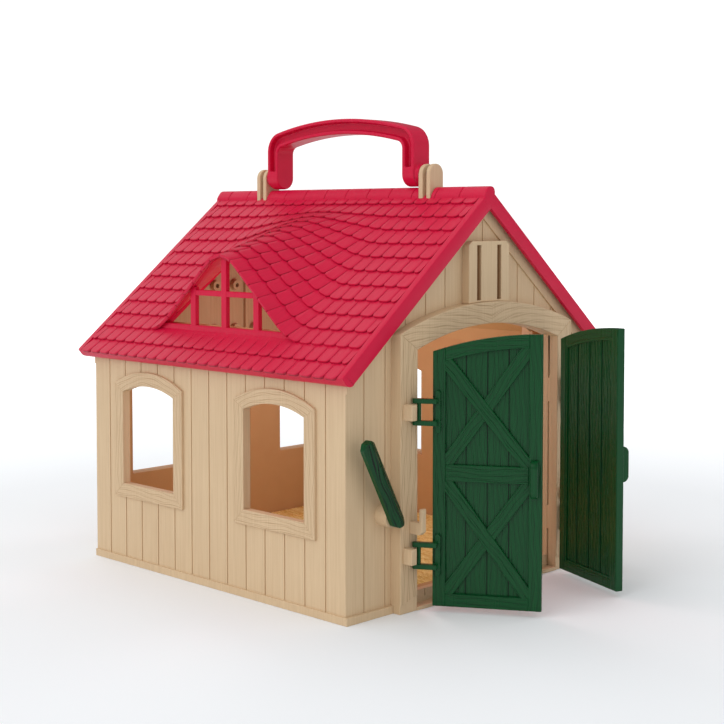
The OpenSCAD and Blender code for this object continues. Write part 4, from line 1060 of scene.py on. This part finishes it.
table, tree, place = new_material("white_table")
matt = add_node(tree, "BsdfDiffuse", {"Color": linear("#F0F3F6")}).outputs[0]
far = add_node(tree, "VectorMath", {0: place}, operation="LENGTH").outputs["Value"]
lift = add_node(tree, "MapRange", {
    "Value": far, "From Min": 0.35, "From Max": 1.1, "To Min": 0.05, "To Max": 0.5}).outputs[0]
seen = add_node(tree, "LightPath").outputs["Is Camera Ray"]
strength = add_node(tree, "Math", {0: seen, 1: lift}, operation="MULTIPLY").outputs[0]
glow = add_node(tree, "Emission", {"Strength": strength}).outputs[0]
both = add_node(tree, "AddShader", {0: matt, 1: glow}).outputs[0]
add_node(tree, "OutputMaterial", {"Surface": both})
floor = mesh_from("table_top", *stage_floor()[:3])
floor.data.materials.append(table)

world = bpy.data.worlds.new("soft_studio")
bpy.context.scene.world = world
world.use_nodes = True
world.node_tree.nodes.clear()
tree = world.node_tree
paths = add_node(tree, "LightPath")
bright = add_node(tree, "Math", {0: paths.outputs["Is Camera Ray"], 1: 0.3, 2: 0.8},
                  operation="MULTIPLY_ADD").outputs[0]
strength = add_node(tree, "Math", {0: paths.outputs["Is Glossy Ray"], 1: -0.6, 2: bright},
                    operation="MULTIPLY_ADD").outputs[0]
sky = add_node(tree, "Background", {"Color": (1, 1, 1, 1), "Strength": strength})
add_node(tree, "OutputWorld", {"Surface": sky.outputs[0]})


# %% Lamps and camera
def lamp(name, kind, place, energy, **settings):
    """A lamp at that place, turned towards the middle of the barn."""
    light = bpy.data.lights.new(name, kind)
    light.energy = energy
    for key, value in settings.items():
        setattr(light, key, value)
    made = bpy.data.objects.new(name, light)
    made.location = place
    away = made.location.copy()
    away.z -= 0.12
    made.rotation_mode = "QUATERNION"
    made.rotation_quaternion = away.to_track_quat("Z", "Y")
    bpy.context.scene.collection.objects.link(made)
    return made


lamp("wide_window_left", "SUN", (-1.6, 0.25, 1.3), 0.62, angle=math.radians(50))
lamp("wide_window_back", "SUN", (0.25, 1.5, 1.4), 0.35, angle=math.radians(50))
inside = lamp("light_inside", "POINT", (0, 0, 0.14), 0.21, shadow_soft_size=0.03)
inside.visible_camera = inside.visible_glossy = False

scene = bpy.context.scene
scene.view_settings.view_transform = "Standard"
# The camera's place, turn and lens were fitted to corners of the barn in the photograph.
lens = bpy.data.cameras.new("camera")
lens.sensor_width, lens.lens, lens.shift_y = 36.0, 70.32, -0.1
camera = bpy.data.objects.new("camera", lens)
camera.location = (-0.65155, -0.65766, 0.22268)
yaw, pitch = 0.778, -0.0508
camera.rotation_euler = (math.pi / 2 + pitch, 0, yaw - math.pi / 2)
scene.collection.objects.link(camera)
scene.camera = camera
print("camera", [round(v, 4) for v in camera.location])

# %% Finish
bpy.context.view_layer.update()
